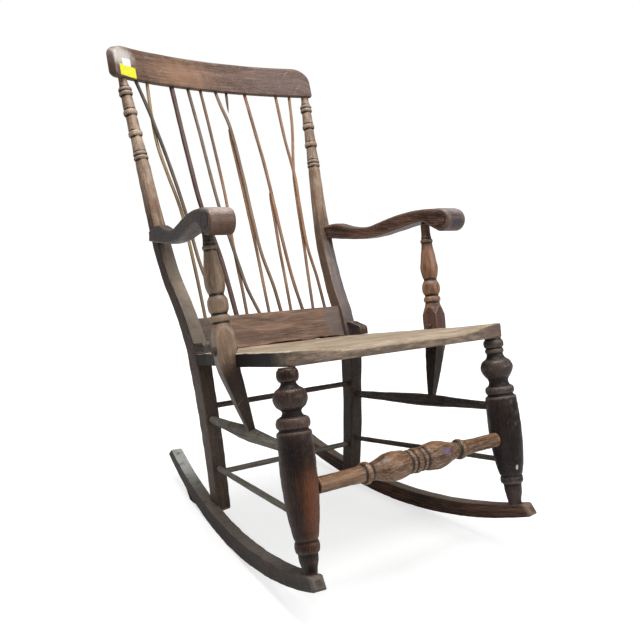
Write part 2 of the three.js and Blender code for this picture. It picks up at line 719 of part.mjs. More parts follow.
function armOutline() {
  const rear = armPostCentre.y + 12;
  const run = rear - armScrollY;
  const topHeights = [[1, 7], [0.93, 14], [0.84, 21], [0.74, 15], [0.64, 12.5], [0.56, 15], [0.48, 24],
    [0.39, 35], [0.3, 44], [0.2, 51.5], [0.1, 55], [0, 57]];
  const top = new THREE.SplineCurve(topHeights.map(([share, h]) =>
    new THREE.Vector2(armScrollY + share * run, armRearHeight + h))).getPoints(20);
  const scroll = [];
  for (let a = 105; a <= 300; a += 19.5) {
    scroll.push(new THREE.Vector2(armScrollY + armScrollRadius * Math.cos(a * degrees),
      armScrollHeight + armScrollRadius * Math.sin(a * degrees)));
  }
  const underHeights = [[0.09, 20], [0.13, 26.5], [0.2, 22], [0.34, 7], [0.48, -8], [0.62, -16], [0.8, -17.5],
    [1, -16]];
  const under = new THREE.SplineCurve(underHeights.map(([share, h]) =>
    new THREE.Vector2(armScrollY + share * run, armRearHeight + h))).getPoints(14);
  return [...top, ...scroll, ...under];
}

function arm(side) {
  const outline = armOutline();
  const count = outline.length;
  const inward = outline.map((p, i) => {
    const along = new THREE.Vector2().subVectors(outline[(i + 1) % count], outline[(i + count - 1) % count]).normalize();
    return new THREE.Vector2(-along.y, along.x);
  });
  const bands = [[-1, 3.5], [-0.9, 0.6], [0.9, 0.6], [1, 3.5]];
  const rings = bands.map(([share, shrink]) => outline.map((p, i) => {
    const y = p.x + inward[i].x * shrink;
    const z = p.y + inward[i].y * shrink;
    return new THREE.Vector3(side * (armXAt(y) + share * armHalfWidthAt(y)), y, z);
  }));
  return loft(rings, (p) => new THREE.Vector2(p.y, p.z));
}

// Turned posts under the arms, square where they stride over the seat's edge, tapering to a tip
const armPostAxis = new THREE.Vector3().subVectors(armPostKnee, armPostTop).normalize();
const armPostAcross = new THREE.Vector3(Math.cos(armPostYawDeg * degrees), Math.sin(armPostYawDeg * degrees), 0);
armPostAcross.addScaledVector(armPostAxis, -armPostAxis.dot(armPostAcross)).normalize();
const armPostAt = (station) => armPostTop.clone().addScaledVector(armPostAxis, station);

function armPost(side, grow = 0) {
  const round = [[-tenonDepth, 15], [0, 15], [0, 20], [19, 20], [31, 23.5], ...bead(35, 43, 24, 27.5), [46, 24.5],
    ...swell([[50, 25], [75, 33], [98, 39], [113, 36], [124, 28.5]], 5),
    ...swell([[127, 29], [136, 38], [145, 40], [153, 37.5], [160, 30]], 5), ...bead(162, 175, 31, 38), [178, 33]];
  const knee = armPostTop.distanceTo(armPostKnee);
  const square = [[182, 33], [192, 35.5], [202, armPostBlock], [knee - 8, armPostBlock]];
  const along = new THREE.Vector3().crossVectors(armPostAxis, armPostAcross);
  const ring = ([s, d], power) => {
    const centre = armPostAt(s < 0 ? s - grow : s);
    return section(centre, armPostAcross, along, d / 2 + grow, d / 2 + grow, power);
  };
  // Below the seat the square leg bends in towards the stretcher and tapers to its tip
  const bend = armPostAt(knee - 8);
  const reach = new THREE.Vector3().subVectors(armPostTip, bend).normalize();
  const taper = [[0.3, 30], [0.65, 22], [1, 13]].map(([share, d]) => {
    const centre = bend.clone().lerp(armPostTip, share);
    const axis = armPostAxis.clone().lerp(reach, Math.min(1, share * 2)).normalize();
    const across = armPostAcross.clone().addScaledVector(axis, -axis.dot(armPostAcross)).normalize();
    const back = new THREE.Vector3().crossVectors(axis, across);
    centre.addScaledVector(reach, share === 1 ? grow : 0);
    return section(centre, across, back, d / 2 + grow, d / 2 + grow, 7);
  });
  const rings = [...round.map((one) => ring(one, 2)), ...square.map((one) => ring(one, 7)), ...taper];
  return loft(rings.map((one) => one.map((p) => mirrored(p, side))), (p) => new THREE.Vector2(p.x, p.y));
}

// Domed peg that pins the arm post to the seat's edge
function armPeg(side, grow = 0) {
  const face = armPostBlock / 2;
  const headDepth = 7;
  const shaftEnd = headDepth + face + 24;
  const from = armPostAt(armPegStation).addScaledVector(armPostAcross, face + clearance + headDepth);
  const towards = from.clone().sub(armPostAcross);
  const shaft = [[headDepth, 8], [shaftEnd, 8]];
  const dome = [[0, 4], [1.6, 11], [4, 16], [headDepth, 18], ...shaft];
  return turned(grow > 0 ? shaft : dome, mirrored(from, side), mirrored(towards, side), 10, grow);
}

// Put together: what receives a piece is cut by that piece's form, grown by the clearance
const bothSides = (form) => sides.map(({ side }) => form(side, clearance));
const whole = Object.values(sticks).filter((one) => !one.taper);
const upperRod = (side, grow) => sideStretcher(side, upperSideHeights, upperSideDiameter, grow);
const lowerRod = (side, grow) => sideStretcher(side, lowerSideHeights, lowerSideDiameter, grow);
const backRods = [backStretcher(backStretcherHeights.upper, clearance),
  backStretcher(backStretcherHeights.lower, clearance)];
const seatGrown = seatPlank(clearance);

function joined(geometry, ...additions) {
  return geometryOf(additions.reduce((body, more) => body.add(solid(more)), solid(geometry)));
}

for (const { side, hand } of sides) {
  const rockerGrown = rocker(side, clearance);
  const rods = [upperRod(side, clearance), lowerRod(side, clearance)];
  const [, footTenon] = legTenons(side, clearance);
  place(`rocker_${hand}`, cut(rocker(side), footTenon), "greyWood");
  const postBody = cut(post(side), rockerGrown, board(clearance), ...rods, ...backRods);
  place(`rear_post_${hand}`, joined(postBody, postTenon(side)), "greyWood");
  const legBody = cut(frontLeg(side, hand), rockerGrown, frontStretcher(side, clearance), ...rods);
  place(`front_leg_${hand}`, joined(legBody, ...legTenons(side)), "redStain");
  place(`side_stretcher_upper_${hand}`, cut(upperRod(side), armPost(side, clearance)), "dustyWood");
  place(`side_stretcher_lower_${hand}`, lowerRod(side), "dustyWood");
  place(`seat_cleat_${hand}`, seatCleat(side), "tanWood");
  place(`arm_${hand}`, cut(arm(side), post(side, clearance), armPost(side, clearance)), "darkStain");
  place(`arm_post_${hand}`, cut(armPost(side), seatGrown, armPeg(side, clearance)), "darkStain");
  place(`arm_peg_${hand}`, armPeg(side), "redStain");
}
place("rocker_wedge", rockerWedge(), "darkStain");
place("front_stretcher", frontStretcher(), "goldWood");
place("back_stretcher_upper", backStretcher(backStretcherHeights.upper), "dustyWood");
place("back_stretcher_lower", backStretcher(backStretcherHeights.lower), "dustyWood");

const seatTenons = sides.map(({ side }) => legTenons(side, clearance)[0]);
place("seat", cut(seat(), ...bothSides(post), ...seatTenons, ...bothSides(armPeg)), "tanWood");
const stickSockets = Object.values(sticks).map((one) => stick(one, clearance));
place("back_board", cut(board(), seatPlank(boardSeatGap), ...stickSockets), "redStain");
const crestSockets = [...whole.map((one) => stick(one, clearance)), stickStump(clearance)];
place("crest_rail", cut(crest(), ...bothSides(post), ...bothSides(postTenon), ...crestSockets), "redStain");
for (const [name, one] of Object.entries(sticks)) {
  place(name, stick(one), one.colour);
}
place("back_stick_7_stump", stickStump(), "orangeStick");

// The chair leans back on its rockers until its weight is over them.
// The origin then lies on the floor under the middle of the whole chair.
assembly.rotation.x = -restLeanDeg * degrees;
assembly.updateMatrixWorld(true);
const box = new THREE.Box3().setFromObject(assembly, true);
assembly.position.set(-(box.min.x + box.max.x) / 2, -(box.min.y + box.max.y) / 2, -box.min.z);
assembly.updateMatrixWorld(true);

export default assembly;
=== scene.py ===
import math

import bmesh
import bpy
import numpy as np
from mathutils import Matrix


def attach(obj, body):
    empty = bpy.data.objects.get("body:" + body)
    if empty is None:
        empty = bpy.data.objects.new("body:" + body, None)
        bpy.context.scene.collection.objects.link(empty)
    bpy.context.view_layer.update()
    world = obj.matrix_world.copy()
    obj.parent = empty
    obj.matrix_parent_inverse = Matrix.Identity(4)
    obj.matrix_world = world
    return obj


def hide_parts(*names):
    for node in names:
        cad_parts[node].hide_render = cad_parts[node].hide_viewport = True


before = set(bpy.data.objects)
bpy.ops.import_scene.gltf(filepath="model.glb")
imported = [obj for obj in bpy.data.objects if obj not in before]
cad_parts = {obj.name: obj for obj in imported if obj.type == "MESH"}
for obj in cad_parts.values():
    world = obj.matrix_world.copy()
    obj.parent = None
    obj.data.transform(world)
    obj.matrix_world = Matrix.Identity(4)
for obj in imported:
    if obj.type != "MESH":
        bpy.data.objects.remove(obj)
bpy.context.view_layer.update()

# Rockers
# Two sawn arcs that stand closer together at the back, dark, rubbed grey-brown along the arrises, with painted
# light, grey-brown to near white, on their top faces.
# The whole chair is drawn upright in millimetres, y = 0 at the front feet, and then leans back on them.
REST_LEAN = math.radians(3.4)
REST_SHIFT = np.array([0, -422.3133, 20.3251])
HANDS = {"left": 1, "right": -1}

ROCKER_RADIUS = 943
ROCKER_CENTRE_Y = 310
ROCKER_THICKNESS = 26.5
ROCKER_DEPTH = 33.5
ROCKER_REACH = {"front": 355, "rear": 382}
ROCKER_RAKE = {"front": 20, "rear": 26}
ROCKER_END_EASE = {"front": 7.0, "rear": 3.0}
ROCKER_TIPS_THINNER = 9
ROCKER_GAUGE = 503.4
ROCKER_TOE_IN = math.radians(6.7)


def settle(points):
    """Drawn millimetres to metres at rest: y and z turn by the lean about the x axis, then all is shifted."""
    x, y, z = np.moveaxis(np.asarray(points, float), -1, 0)
    c, s = math.cos(REST_LEAN), math.sin(REST_LEAN)
    return (np.stack([x, y * c + z * s, z * c - y * s], -1) + REST_SHIFT) / 1000


def unevenness(points, spacing, seed):
    """Smooth hills and hollows from -1 to 1: the mean of six waves that cross space in various directions."""
    k = np.arange(1, 7)
    ways = np.stack([np.sin(12.9 * k + seed), np.sin(78.2 * k + 1.7 * seed), np.cos(37.7 * k + 2.3 * seed)], -1)
    return np.clip(np.sin(points @ ways.T * (2 * np.pi / spacing) + 2.4 * k + seed).mean(-1) * 1.8, -1, 1)


def relief(rings, reach=5.0):
    """How far each point stands out, in mm, beyond the mean of its neighbours along and around the piece.
    Crowns and arrises come out above 0 and grooves below. A ring's own roundness is taken off as its mean."""
    around = np.roll(rings, -1, 1) - np.roll(rings, 1, 1)
    along = np.gradient(rings, axis=0)
    normal = np.cross(around, along)
    outward = np.sign(((rings - rings.mean((0, 1))) * normal).sum())
    normal *= outward / np.maximum(np.linalg.norm(normal, axis=-1, keepdims=True), 1e-9)
    found = np.zeros(rings.shape[:2])
    for axis, mode, gaps in ((0, "edge", along), (1, "wrap", around / 2)):
        count = int(np.clip(round(reach / max(np.median(np.linalg.norm(gaps, axis=-1)), 0.2)), 1, 12))
        count = min(count, rings.shape[axis] // 2 - 1)
        pad = [(0, 0)] * 3
        pad[axis] = (count + 1, count)
        total = np.cumsum(np.pad(rings, pad, mode=mode), axis=axis)
        size = rings.shape[axis]
        high = np.take(total, np.arange(size) + 2 * count + 1, axis=axis)
        low = np.take(total, np.arange(size), axis=axis)
        stand = ((rings - (high - low) / (2 * count + 1)) * normal).sum(-1)
        found += np.maximum(stand - stand.mean(1, keepdims=True), 0) if axis else stand
    return np.clip(found, -1.5, 1.5)


def carve(node, rings, grain, material):
    """Makes a piece: a closed skin over rings of drawn points, rings by points by 3, whose first and last ring
    fold shut on themselves. Grain is a point's place in the wood: along the fibres, across and deep, in mm."""
    ring_count, count = rings.shape[:2]
    places = settle(rings).reshape(-1, 3)
    start = np.arange(ring_count - 1)[:, None] * count + np.arange(count)
    after = np.arange(ring_count - 1)[:, None] * count + (np.arange(count) + 1) % count
    faces = np.stack([start, after, after + count, start + count], -1).reshape(-1, 4)
    a, b, c = (places[faces[:, k]] - places.mean(0) for k in (0, 1, 2))
    if (a * np.cross(b, c)).sum() < 0:
        faces = faces[:, ::-1]
    mesh = bpy.data.meshes.new(node + "_skin")
    mesh.from_pydata(places, [], faces)
    mesh.attributes.new("grain", "FLOAT_VECTOR", "POINT").data.foreach_set("vector", (grain / 1000).ravel())
    mesh.attributes.new("crown", "FLOAT", "POINT").data.foreach_set("value", relief(rings).ravel())
    work = bmesh.new()
    work.from_mesh(mesh)
    bmesh.ops.remove_doubles(work, verts=work.verts, dist=2e-6)
    work.to_mesh(mesh)
    work.free()
    mesh.polygons.foreach_set("use_smooth", np.ones(len(mesh.polygons), bool))
    mesh.materials.append(material)
    piece = bpy.data.objects.new(node + "_skin", mesh)
    bpy.context.scene.collection.objects.link(piece)
    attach(piece, "root")
    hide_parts(node)


def block_section(half_a, half_b, corner, flats=(7, 7), turns=5):
    """Rounded rectangles, one a station: each point is a corner's centre plus the corner's radius outwards.
    Flats are the points along the b = +-half_b sides and along the a = +-half_a sides."""
    signs = np.array([[1, 1], [-1, 1], [-1, -1], [1, -1]], float)
    centres, outward = [], []
    for k in range(4):
        angles = np.pi / 2 * (k + np.linspace(0, 1, turns))
        share = (np.arange(flats[k % 2]) + 1)[:, None] / (flats[k % 2] + 1)
        centres += [np.tile(signs[k], (turns, 1)), signs[k] + (signs[(k + 1) % 4] - signs[k]) * share]
        outward += [np.stack([np.cos(angles), np.sin(angles)], -1)]
        outward += [np.tile(outward[-1][-1], (len(share), 1))]
    centres, outward = np.concatenate(centres), np.concatenate(outward)
    size = np.stack(np.broadcast_arrays(half_a, half_b), -1).astype(float).reshape(-1, 1, 2)
    corner = np.broadcast_to(np.asarray(corner, float).reshape(-1, 1, 1), (len(size), 1, 1))
    return centres * (size - corner) + outward * corner


def closed_ends(rings, sections, grain, steps=4):
    """Adds rings that draw each end shut on the middle line of its section, evenly from the rim inwards."""
    half = np.abs(sections).max(1)
    longer = (half - half.min(-1, keepdims=True))[:, None]
    spread = np.clip(sections, -longer, longer)
    ones = np.ones((sections.shape[1], 1))
    inwards = np.linspace(0, 1, steps + 1)[1:]
    closed = []
    for places in (rings, grain):
        parts = []
        for end, order in ((0, inwards[::-1]), (-1, inwards)):
            plane = np.linalg.lstsq(np.hstack([sections[end], ones]), places[end], rcond=None)[0]
            middle = np.hstack([spread[end], ones]) @ plane
            parts.append(places[end] + (middle - places[end]) * order[:, None, None])
        closed.append(np.concatenate([parts[0], places, parts[1]]))
    return closed


def laid_along(line, sections, across, back):
    """Carries sections along a line: each point is the line's, plus the section's two measures across it."""
    across, back = (np.broadcast_to(way, line.shape)[:, None] for way in (across, back))
    return line[:, None] + sections[..., :1] * across + sections[..., 1:] * back


def fibres(run, sections):
    """Places in wood whose fibres run along the piece: the distance along, then the two measures across."""
    return np.concatenate([np.broadcast_to(run[:, None, None], sections.shape[:2] + (1,)), sections], -1)


def along_piece(length, step, ease):
    """Distances along a piece, closer together where its two ends are eased."""
    near = ease * (1 - np.cos(np.radians([0, 25, 50, 70])))
    return np.concatenate([near, np.linspace(ease, length - ease, max(3, int(length / step))),
                           length - near[::-1]])


def corner_fall(radius, from_end):
    """How far a corner rounded as a quarter circle draws the edge back at a distance from the end."""
    left = np.clip(radius - from_end, 0, radius)
    return radius - np.sqrt(radius**2 - left**2)


def end_easing(distance, length, ease):
    """The same at both ends of a piece."""
    return corner_fall(ease, np.minimum(distance, length - distance))


def toed_in(rings, side):
    """Turns what was drawn straight ahead by the toe-in about the front feet, and moves it out to its side."""
    turn = side * ROCKER_TOE_IN
    x, y, z = np.moveaxis(rings, -1, 0)
    turned_x = x * math.cos(turn) - y * math.sin(turn)
    return np.stack([turned_x + side * ROCKER_GAUGE / 2, x * math.sin(turn) + y * math.cos(turn), z], -1)


def linear(shade):
    """A colour written as red, green and blue out of 255, as the renderer's linear values."""
    c = np.array(shade) / 255
    return (*np.where(c <= 0.04045, c / 12.92, ((c + 0.055) / 1.055) ** 2.4).tolist(), 1.0)


def feed(socket, source):
    """Fills an input of a shader node with a link or a plain value."""
    if isinstance(source, bpy.types.NodeSocket):
        socket.id_data.links.new(source, socket)
    elif source is not None:
        socket.default_value = source


def wire(tree, kind, sources=(), result=0, **settings):
    """Adds one shader node; sources fill its inputs by number or name, and one of its outputs comes back."""
    made = tree.nodes.new("ShaderNode" + kind)
    for key, value in settings.items():
        setattr(made, key, value)
    for slot, source in sources.items() if isinstance(sources, dict) else enumerate(sources):
        feed(made.inputs[slot], source)
    return made.outputs[result]


def maths(operation, a, b=None):
    """A sum of two values, at least one of them a link, in the tree that the link is in."""
    tree = (a if isinstance(a, bpy.types.NodeSocket) else b).id_data
    return wire(tree, "Math", (a, b), operation=operation)


def times(a, b):
    """Two values multiplied."""
    return maths("MULTIPLY", a, b)


def plus(a, b):
    return maths("ADD", a, b)


def minus(a, b):
    return maths("SUBTRACT", a, b)


def vectors(operation, a, b=None):
    """A sum on a vector link; only a length comes out as a plain value."""
    return wire(a.id_data, "VectorMath", (a, b), int(operation == "LENGTH"), operation=operation)


def one_axis(vector, axis):
    return wire(vector.id_data, "SeparateXYZ", (vector,), axis)


def turned_to(tree, axis):
    """How far a face turns towards the end of an axis, from -1 to 1."""
    return one_axis(wire(tree, "NewGeometry", result="Normal"), axis)


def mixed(factor, a, b):
    return wire(factor.id_data, "Mix", {0: factor, 6: a, 7: b}, 2, data_type="RGBA")


def fade(value, low, high):
    """0 below the one value and 1 above the other, smooth between; the other way if low is the larger."""
    return wire(value.id_data, "MapRange", {0: value, 1: low, 2: high}, interpolation_type="SMOOTHSTEP")


def noise(place, stretch, detail=4.0, roughness=0.6):
    """Noise over places stretched by so many waves a metre each way."""
    spread = {"Vector": vectors("MULTIPLY", place, stretch), "Scale": 1.0}
    return wire(place.id_data, "TexNoise", {**spread, "Detail": detail, "Roughness": roughness})


def effect(name, takes, gives):
    """An empty shader effect: its tree, the sockets that it takes from and those that it gives to."""
    tree = bpy.data.node_groups.new(name, "ShaderNodeTree")
    for way, sockets in (("INPUT", takes), ("OUTPUT", gives)):
        for label, kind in sockets.items():
            tree.interface.new_socket(label, in_out=way, socket_type="NodeSocket" + kind)
    return tree, tree.nodes.new("NodeGroupInput").outputs, tree.nodes.new("NodeGroupOutput").inputs


def placed(tree, group, sources):
    """Places an effect in a material, fills its inputs by name and gives back its outputs by name."""
    node = tree.nodes.new("ShaderNodeGroup")
    node.node_tree = group
    for name, source in sources.items():
        feed(node.inputs[name], source)
    return node.outputs


def old_grain():
    """Streaks along the fibres, broad bands of figure, and growth rings cut at a slant."""
    takes = {"Grain": "Vector", "Ring gap": "Float"}
    tree, given, out = effect("old grain", takes, {"Streaks": "Float", "Figure": "Float", "Rings": "Float"})
    feed(out["Streaks"], noise(given["Grain"], (20, 470, 470), 5.0, 0.68))
    figure = noise(given["Grain"], (5, 48, 48), 3.0)
    feed(out["Figure"], fade(figure, 0.34, 0.66))
    bent = noise(given["Grain"], (5, 22, 22), 1.0)
    heart = vectors("ADD", given["Grain"], (0.012, 0.03, 0.045))
    flat = vectors("MULTIPLY", heart, (0.16, 1, 1))
    radius = vectors("LENGTH", flat)
    radius = plus(radius, times(bent, 0.012))
    turn = times(maths("DIVIDE", radius, given["Ring gap"]), 2 * math.pi)
    feed(out["Rings"], fade(maths("SINE", turn), 0.1, 0.95))
    return tree


def handling():
    """Where hands and cloth have rubbed crowns and arrises pale, and where dirt has stayed in the hollows."""
    tree, given, out = effect("handling", {"Crown": "Float", "Grain": "Vector"},
                              {"Rubbed": "Float", "Soiled": "Float"})
    patchy = minus(noise(given["Grain"], (40, 110, 110), 5.0, 0.7), 0.5)
    rubbed = plus(given["Crown"], times(patchy, 1.3))
    feed(out["Rubbed"], fade(rubbed, 0.12, 0.62))
    soiled = plus(given["Crown"], times(patchy, -0.5))
    feed(out["Soiled"], fade(soiled, -0.02, -0.34))
    return tree


def settled_dust():
    """Grey dust that lies on what faces up, in uneven drifts, and the small pale specks of an old surface."""
    gives = {"Dust": "Float", "Specks": "Float", "Blotches": "Float", "Lumps": "Float"}
    tree, given, out = effect("settled dust", {"Amount": "Float"}, gives)
    place = wire(tree, "TexCoord", result="Object")
    facing = turned_to(tree, "Z")
    drift = noise(place, (60, 60, 60), 6.0, 0.7)
    lying = times(fade(facing, -0.1, 0.95), fade(drift, 0.35, 0.7))
    feed(out["Dust"], times(lying, given["Amount"]))
    feed(out["Specks"], fade(noise(place, (520, 520, 520), 2.0), 0.66, 0.74))
    feed(out["Blotches"], fade(noise(place, (22, 22, 22), 5.0, 0.65), 0.36, 0.66))
    feed(out["Lumps"], noise(place, (150, 150, 150), 3.0, 0.55))
    return tree


def scuffs():
    """Fine pale scratches that run across the fibres at a slant, in two directions, only here and there."""
    tree, given, out = effect("scuffs", {"Grain": "Vector"}, {"Scratches": "Float"})
    found = None
    for turn in (0.5, -0.9):
        slanted = wire(tree, "Mapping", {"Vector": given["Grain"], "Rotation": (0.3, 0.4, turn)})
        lines = fade(noise(slanted, (22, 620, 620), 2.0), 0.645, 0.69)
        found = lines if found is None else maths("MAXIMUM", found, lines)
    some = fade(noise(given["Grain"], (26, 26, 26), 2.0), 0.45, 0.62)
    feed(out["Scratches"], times(found, some))
    return tree


def spot():
    """A patch about a point at rest: 1 inside its half sizes and 0 outside, with a soft or ragged rim."""
    takes = {"Centre": "Vector", "Half size": "Vector", "Rim": "Float", "Ragged": "Float"}
    tree, given, out = effect("spot", takes, {"Mask": "Float"})
    place = wire(tree, "TexCoord", result="Object")
    away = vectors("SUBTRACT", place, given["Centre"])
    away = vectors("DIVIDE", away, given["Half size"])
    away = vectors("LENGTH", away)
    ragged = minus(noise(place, (90, 90, 90), 5.0, 0.7), 0.5)
    away = plus(away, times(ragged, given["Ragged"]))
    low = minus(1.0, given["Rim"])
    feed(out["Mask"], fade(away, plus(1.0, given["Rim"]), low))
    return tree


def label():
    """A square-cornered patch about a point, 1 inside its half sizes and only on faces that turn to the front;
    the slope turns its upper and lower edges."""
    tree, given, out = effect("label", {"Centre": "Vector", "Half size": "Vector", "Slope": "Float"},
                              {"Mask": "Float"})
    place = wire(tree, "TexCoord", result="Object")
    away = vectors("SUBTRACT", place, given["Centre"])
    sideways = one_axis(away, "X")
    lift = wire(tree, "CombineXYZ", {"Z": times(sideways, given["Slope"])})
    away = vectors("ADD", away, lift)
    away = vectors("DIVIDE", away, given["Half size"])
    away = vectors("ABSOLUTE", away)
    x, z = (one_axis(away, axis) for axis in "XZ")
    forward = turned_to(tree, "Y")
    inside = fade(maths("MAXIMUM", x, z), 1.03, 0.97)
    feed(out["Mask"], times(inside, fade(forward, 0.1, -0.1)))
    return tree


OLD_GRAIN, HANDLING, DUST = old_grain(), handling(), settled_dust()
SCUFFS, SPOT, LABEL = scuffs(), spot(), label()
RING_GAP = 0.0034
SOOT = (24, 20, 18)
PALE_DUST = (150, 143, 130)


def wood(name, dark, mid, light, worn, rubbed=0.7, soiled=0.8, dust=0.2, gloss=0.5, rings=0.15, scratched=0.25,
         streaks=0.6, blotch=None, blotched=0.4, marks=(), labels=(), bump=0.5, shine=0.3):
    """Old stained wood: three tones by figure, streaks and rings, then blotches, rubbed crowns, soil and dust.
    Marks are (centre, half size, colour, strength, rim, ragged) patches of another colour, centres in metres,
    among them painted highlights and painted shade; labels are (centre, half size, slope, colour)."""
    material = bpy.data.materials.new(name)
    material.use_nodes = True
    tree = material.node_tree
    shader = tree.nodes["Principled BSDF"]
    grain = wire(tree, "Attribute", result="Vector", attribute_name="grain")
    crown = wire(tree, "Attribute", result="Fac", attribute_name="crown")
    made = {}
    for group, sources in ((OLD_GRAIN, {"Grain": grain, "Ring gap": RING_GAP}),
                           (HANDLING, {"Crown": crown, "Grain": grain}),
                           (DUST, {"Amount": dust}), (SCUFFS, {"Grain": grain})):
        made.update({output.name: output for output in placed(tree, group, sources)})
    patches = [
        (times(placed(tree, SPOT, {"Centre": centre, "Half size": half, "Rim": rim, "Ragged": ragged})["Mask"],
               strength), shade)
        for centre, half, shade, strength, rim, ragged in marks]
    stickers = [
        (placed(tree, LABEL, {"Centre": centre, "Half size": half, "Slope": slope})["Mask"], shade)
        for centre, half, slope, shade in labels]
    colour = linear(dark)
    for mask, shade in [
        (made["Figure"], mid),
        (times(fade(made["Streaks"], 0.46, 0.64), streaks), light),
        (times(fade(made["Streaks"], 0.47, 0.36), 0.9 * streaks), [0.72 * c for c in dark]),
        (times(made["Rings"], rings), dark),
        (times(made["Blotches"], blotched if blotch else 0), blotch or dark),
        *patches,
        (times(made["Rubbed"], rubbed), worn),
        (times(made["Soiled"], soiled), SOOT),
        (times(made["Scratches"], scratched), worn),
        (times(made["Specks"], 0.3), PALE_DUST),
        (made["Dust"], PALE_DUST),
        *stickers,
    ]:
        colour = mixed(mask, colour, linear(shade))
    feed(shader.inputs["Base Color"], colour)
    rough = wire(tree, "MapRange", {0: made["Streaks"], 1: 0.3, 2: 0.7, 3: gloss - 0.1, 4: gloss + 0.12})
    rough = plus(rough, times(made["Dust"], 0.4))
    rough = plus(rough, times(made["Soiled"], 0.2))
    feed(shader.inputs["Roughness"], rough)
    shader.inputs["Specular IOR Level"].default_value = shine
    height = minus(made["Streaks"], times(made["Rings"], 0.3 * rings))
    height = minus(height, times(made["Scratches"], 0.25))
    height = plus(height, times(made["Lumps"], 0.9))
    raised = wire(tree, "Bump", {"Strength": bump, "Distance": 0.0012, "Height": height})
    feed(shader.inputs["Normal"], raised)
    return material


def painted_light_on_faces(material, axis, way, bottom, top, shade, strength, along="Z", soft=0.03):
    """Painted light and shade: another colour on the faces that turn one way, between two heights or places
    along another axis.
    """
    tree = material.node_tree
    shader = tree.nodes["Principled BSDF"]
    colour = shader.inputs["Base Color"].links[0].from_socket
    facing = turned_to(tree, axis)
    place = wire(tree, "TexCoord", result="Object")
    drift = minus(noise(place, (60, 60, 60), 5.0, 0.7), 0.5)
    patchy = fade(drift, -0.3, 0.02)
    turned_so = fade(plus(times(facing, way), times(drift, 0.35)), 0.45, 0.8)
    place = plus(one_axis(place, along), times(drift, 0.06))
    within = times(fade(place, bottom - soft, bottom + soft), fade(place, top + soft, top - soft))
    mask = times(times(turned_so, within), times(patchy, strength))
    feed(shader.inputs["Base Color"], mixed(mask, colour, linear(shade)))


rocker_woods = {
    "right": wood("worn grey rocker", (38, 31, 27), (66, 55, 48), (104, 94, 86), (132, 122, 112), dust=0.15,
                  gloss=0.5, blotch=(52, 37, 30), rubbed=0.35, streaks=0.7, rings=0.05),
    "left": wood("worn brown rocker", (50, 32, 25), (98, 68, 53), (134, 104, 84), (168, 148, 128), dust=0.15,
                 gloss=0.42, rubbed=0.3),
}
# Painted light on the rockers' top faces: near white over the right rocker's rear half, grey-brown further
# forward and along the left rocker.
painted_light_on_faces(rocker_woods["right"], "Z", 1, 0.12, 0.6, (190, 190, 185), 1.0, "Y", 0.08)
painted_light_on_faces(rocker_woods["right"], "Z", 1, -0.3, 0.12, (126, 116, 108), 0.7, "Y", 0.08)
painted_light_on_faces(rocker_woods["left"], "Z", 1, -0.35, 0.2, (150, 132, 116), 0.6, "Y", 0.08)
for hand, side in HANDS.items():
    top_radius = ROCKER_RADIUS - ROCKER_DEPTH
    foot_reach = {end: np.arcsin(ROCKER_REACH[end] / ROCKER_RADIUS) for end in ROCKER_REACH}
    top_reach = {end: np.arcsin((ROCKER_REACH[end] - ROCKER_RAKE[end]) / top_radius) for end in ROCKER_REACH}
    length = ROCKER_RADIUS * (foot_reach["front"] + foot_reach["rear"])
    run = along_piece(length, 3.2, ROCKER_END_EASE["front"])
    share = run / length
    below, above = (reach["rear"] * share - reach["front"] * (1 - share) for reach in (foot_reach, top_reach))
    top_radius = top_radius + ROCKER_TIPS_THINNER * (2 * share - 1) ** 2
    foot, crown = (
        np.stack([0 * run, ROCKER_CENTRE_Y + radius * np.sin(angle), ROCKER_RADIUS - radius * np.cos(angle)],
                 -1)
        for radius, angle in ((ROCKER_RADIUS, below), (top_radius, above)))
    height = np.linalg.norm(crown - foot, axis=-1)
    front_ease, rear_ease = (end_easing(run, length, ROCKER_END_EASE[end]) for end in ("front", "rear"))
    easing = np.where(share < 0.5, front_ease, rear_ease)
    chipped = 2.6 + 1.3 * unevenness(np.c_[run, 0 * run, 0 * run], 90, side)
    sections = block_section(ROCKER_THICKNESS / 2 - easing, height / 2 - easing, chipped, (6, 7))
    middle = (foot + crown) / 2
    rings = laid_along(middle, sections, (1, 0, 0), (crown - foot) / height[:, None])
    worn_away = 0.5 * np.clip(unevenness(rings, 60, 3 + side), 0, 1) + 0.25 * (1 + unevenness(rings, 22, side))
    rings -= (rings - middle[:, None]) * (worn_away / 18)[..., None]
    rings, grain = closed_ends(rings, sections, fibres(run, sections))
    grain[..., 1] += side * 40
    carve(f"rocker_{hand}", toed_in(rings, side), grain, rocker_woods[hand])

# Wedge under the right rocker
# A short dark offcut fixed under the arc behind the rear leg, perhaps to stop the chair from tipping back. Its
# lower edge is ragged.
WEDGE_THICKNESS, WEDGE_LET_IN = 19, 4
WEDGE_DROPS = [(508, 4.3), (540, 15.8), (553, 18.4), (582, 4)]
run = np.linspace(WEDGE_DROPS[0][0], WEDGE_DROPS[-1][0], 44)
rocker_foot = ROCKER_RADIUS - np.sqrt(ROCKER_RADIUS**2 - (run - ROCKER_CENTRE_Y) ** 2)
ragged = 1 - 0.06 * (1 + unevenness(np.c_[run, run, run], 14, 2))
low = rocker_foot - np.interp(run, *np.array(WEDGE_DROPS).T) * ragged
high = rocker_foot + WEDGE_LET_IN
sections = block_section(WEDGE_THICKNESS / 2 + 0 * run, (high - low) / 2, 1.2, (6, 7))
rings = laid_along(np.stack([0 * run, run, (high + low) / 2], -1), sections, (1, 0, 0), (0, 0, 1))
rings, grain = closed_ends(rings, sections, fibres(run, sections))
wedge_wood = wood("dark offcut", (18, 14, 12), (32, 26, 23), (54, 46, 41), (90, 80, 72), gloss=0.7)
carve("rocker_wedge", toed_in(rings, -1), grain, wedge_wood)

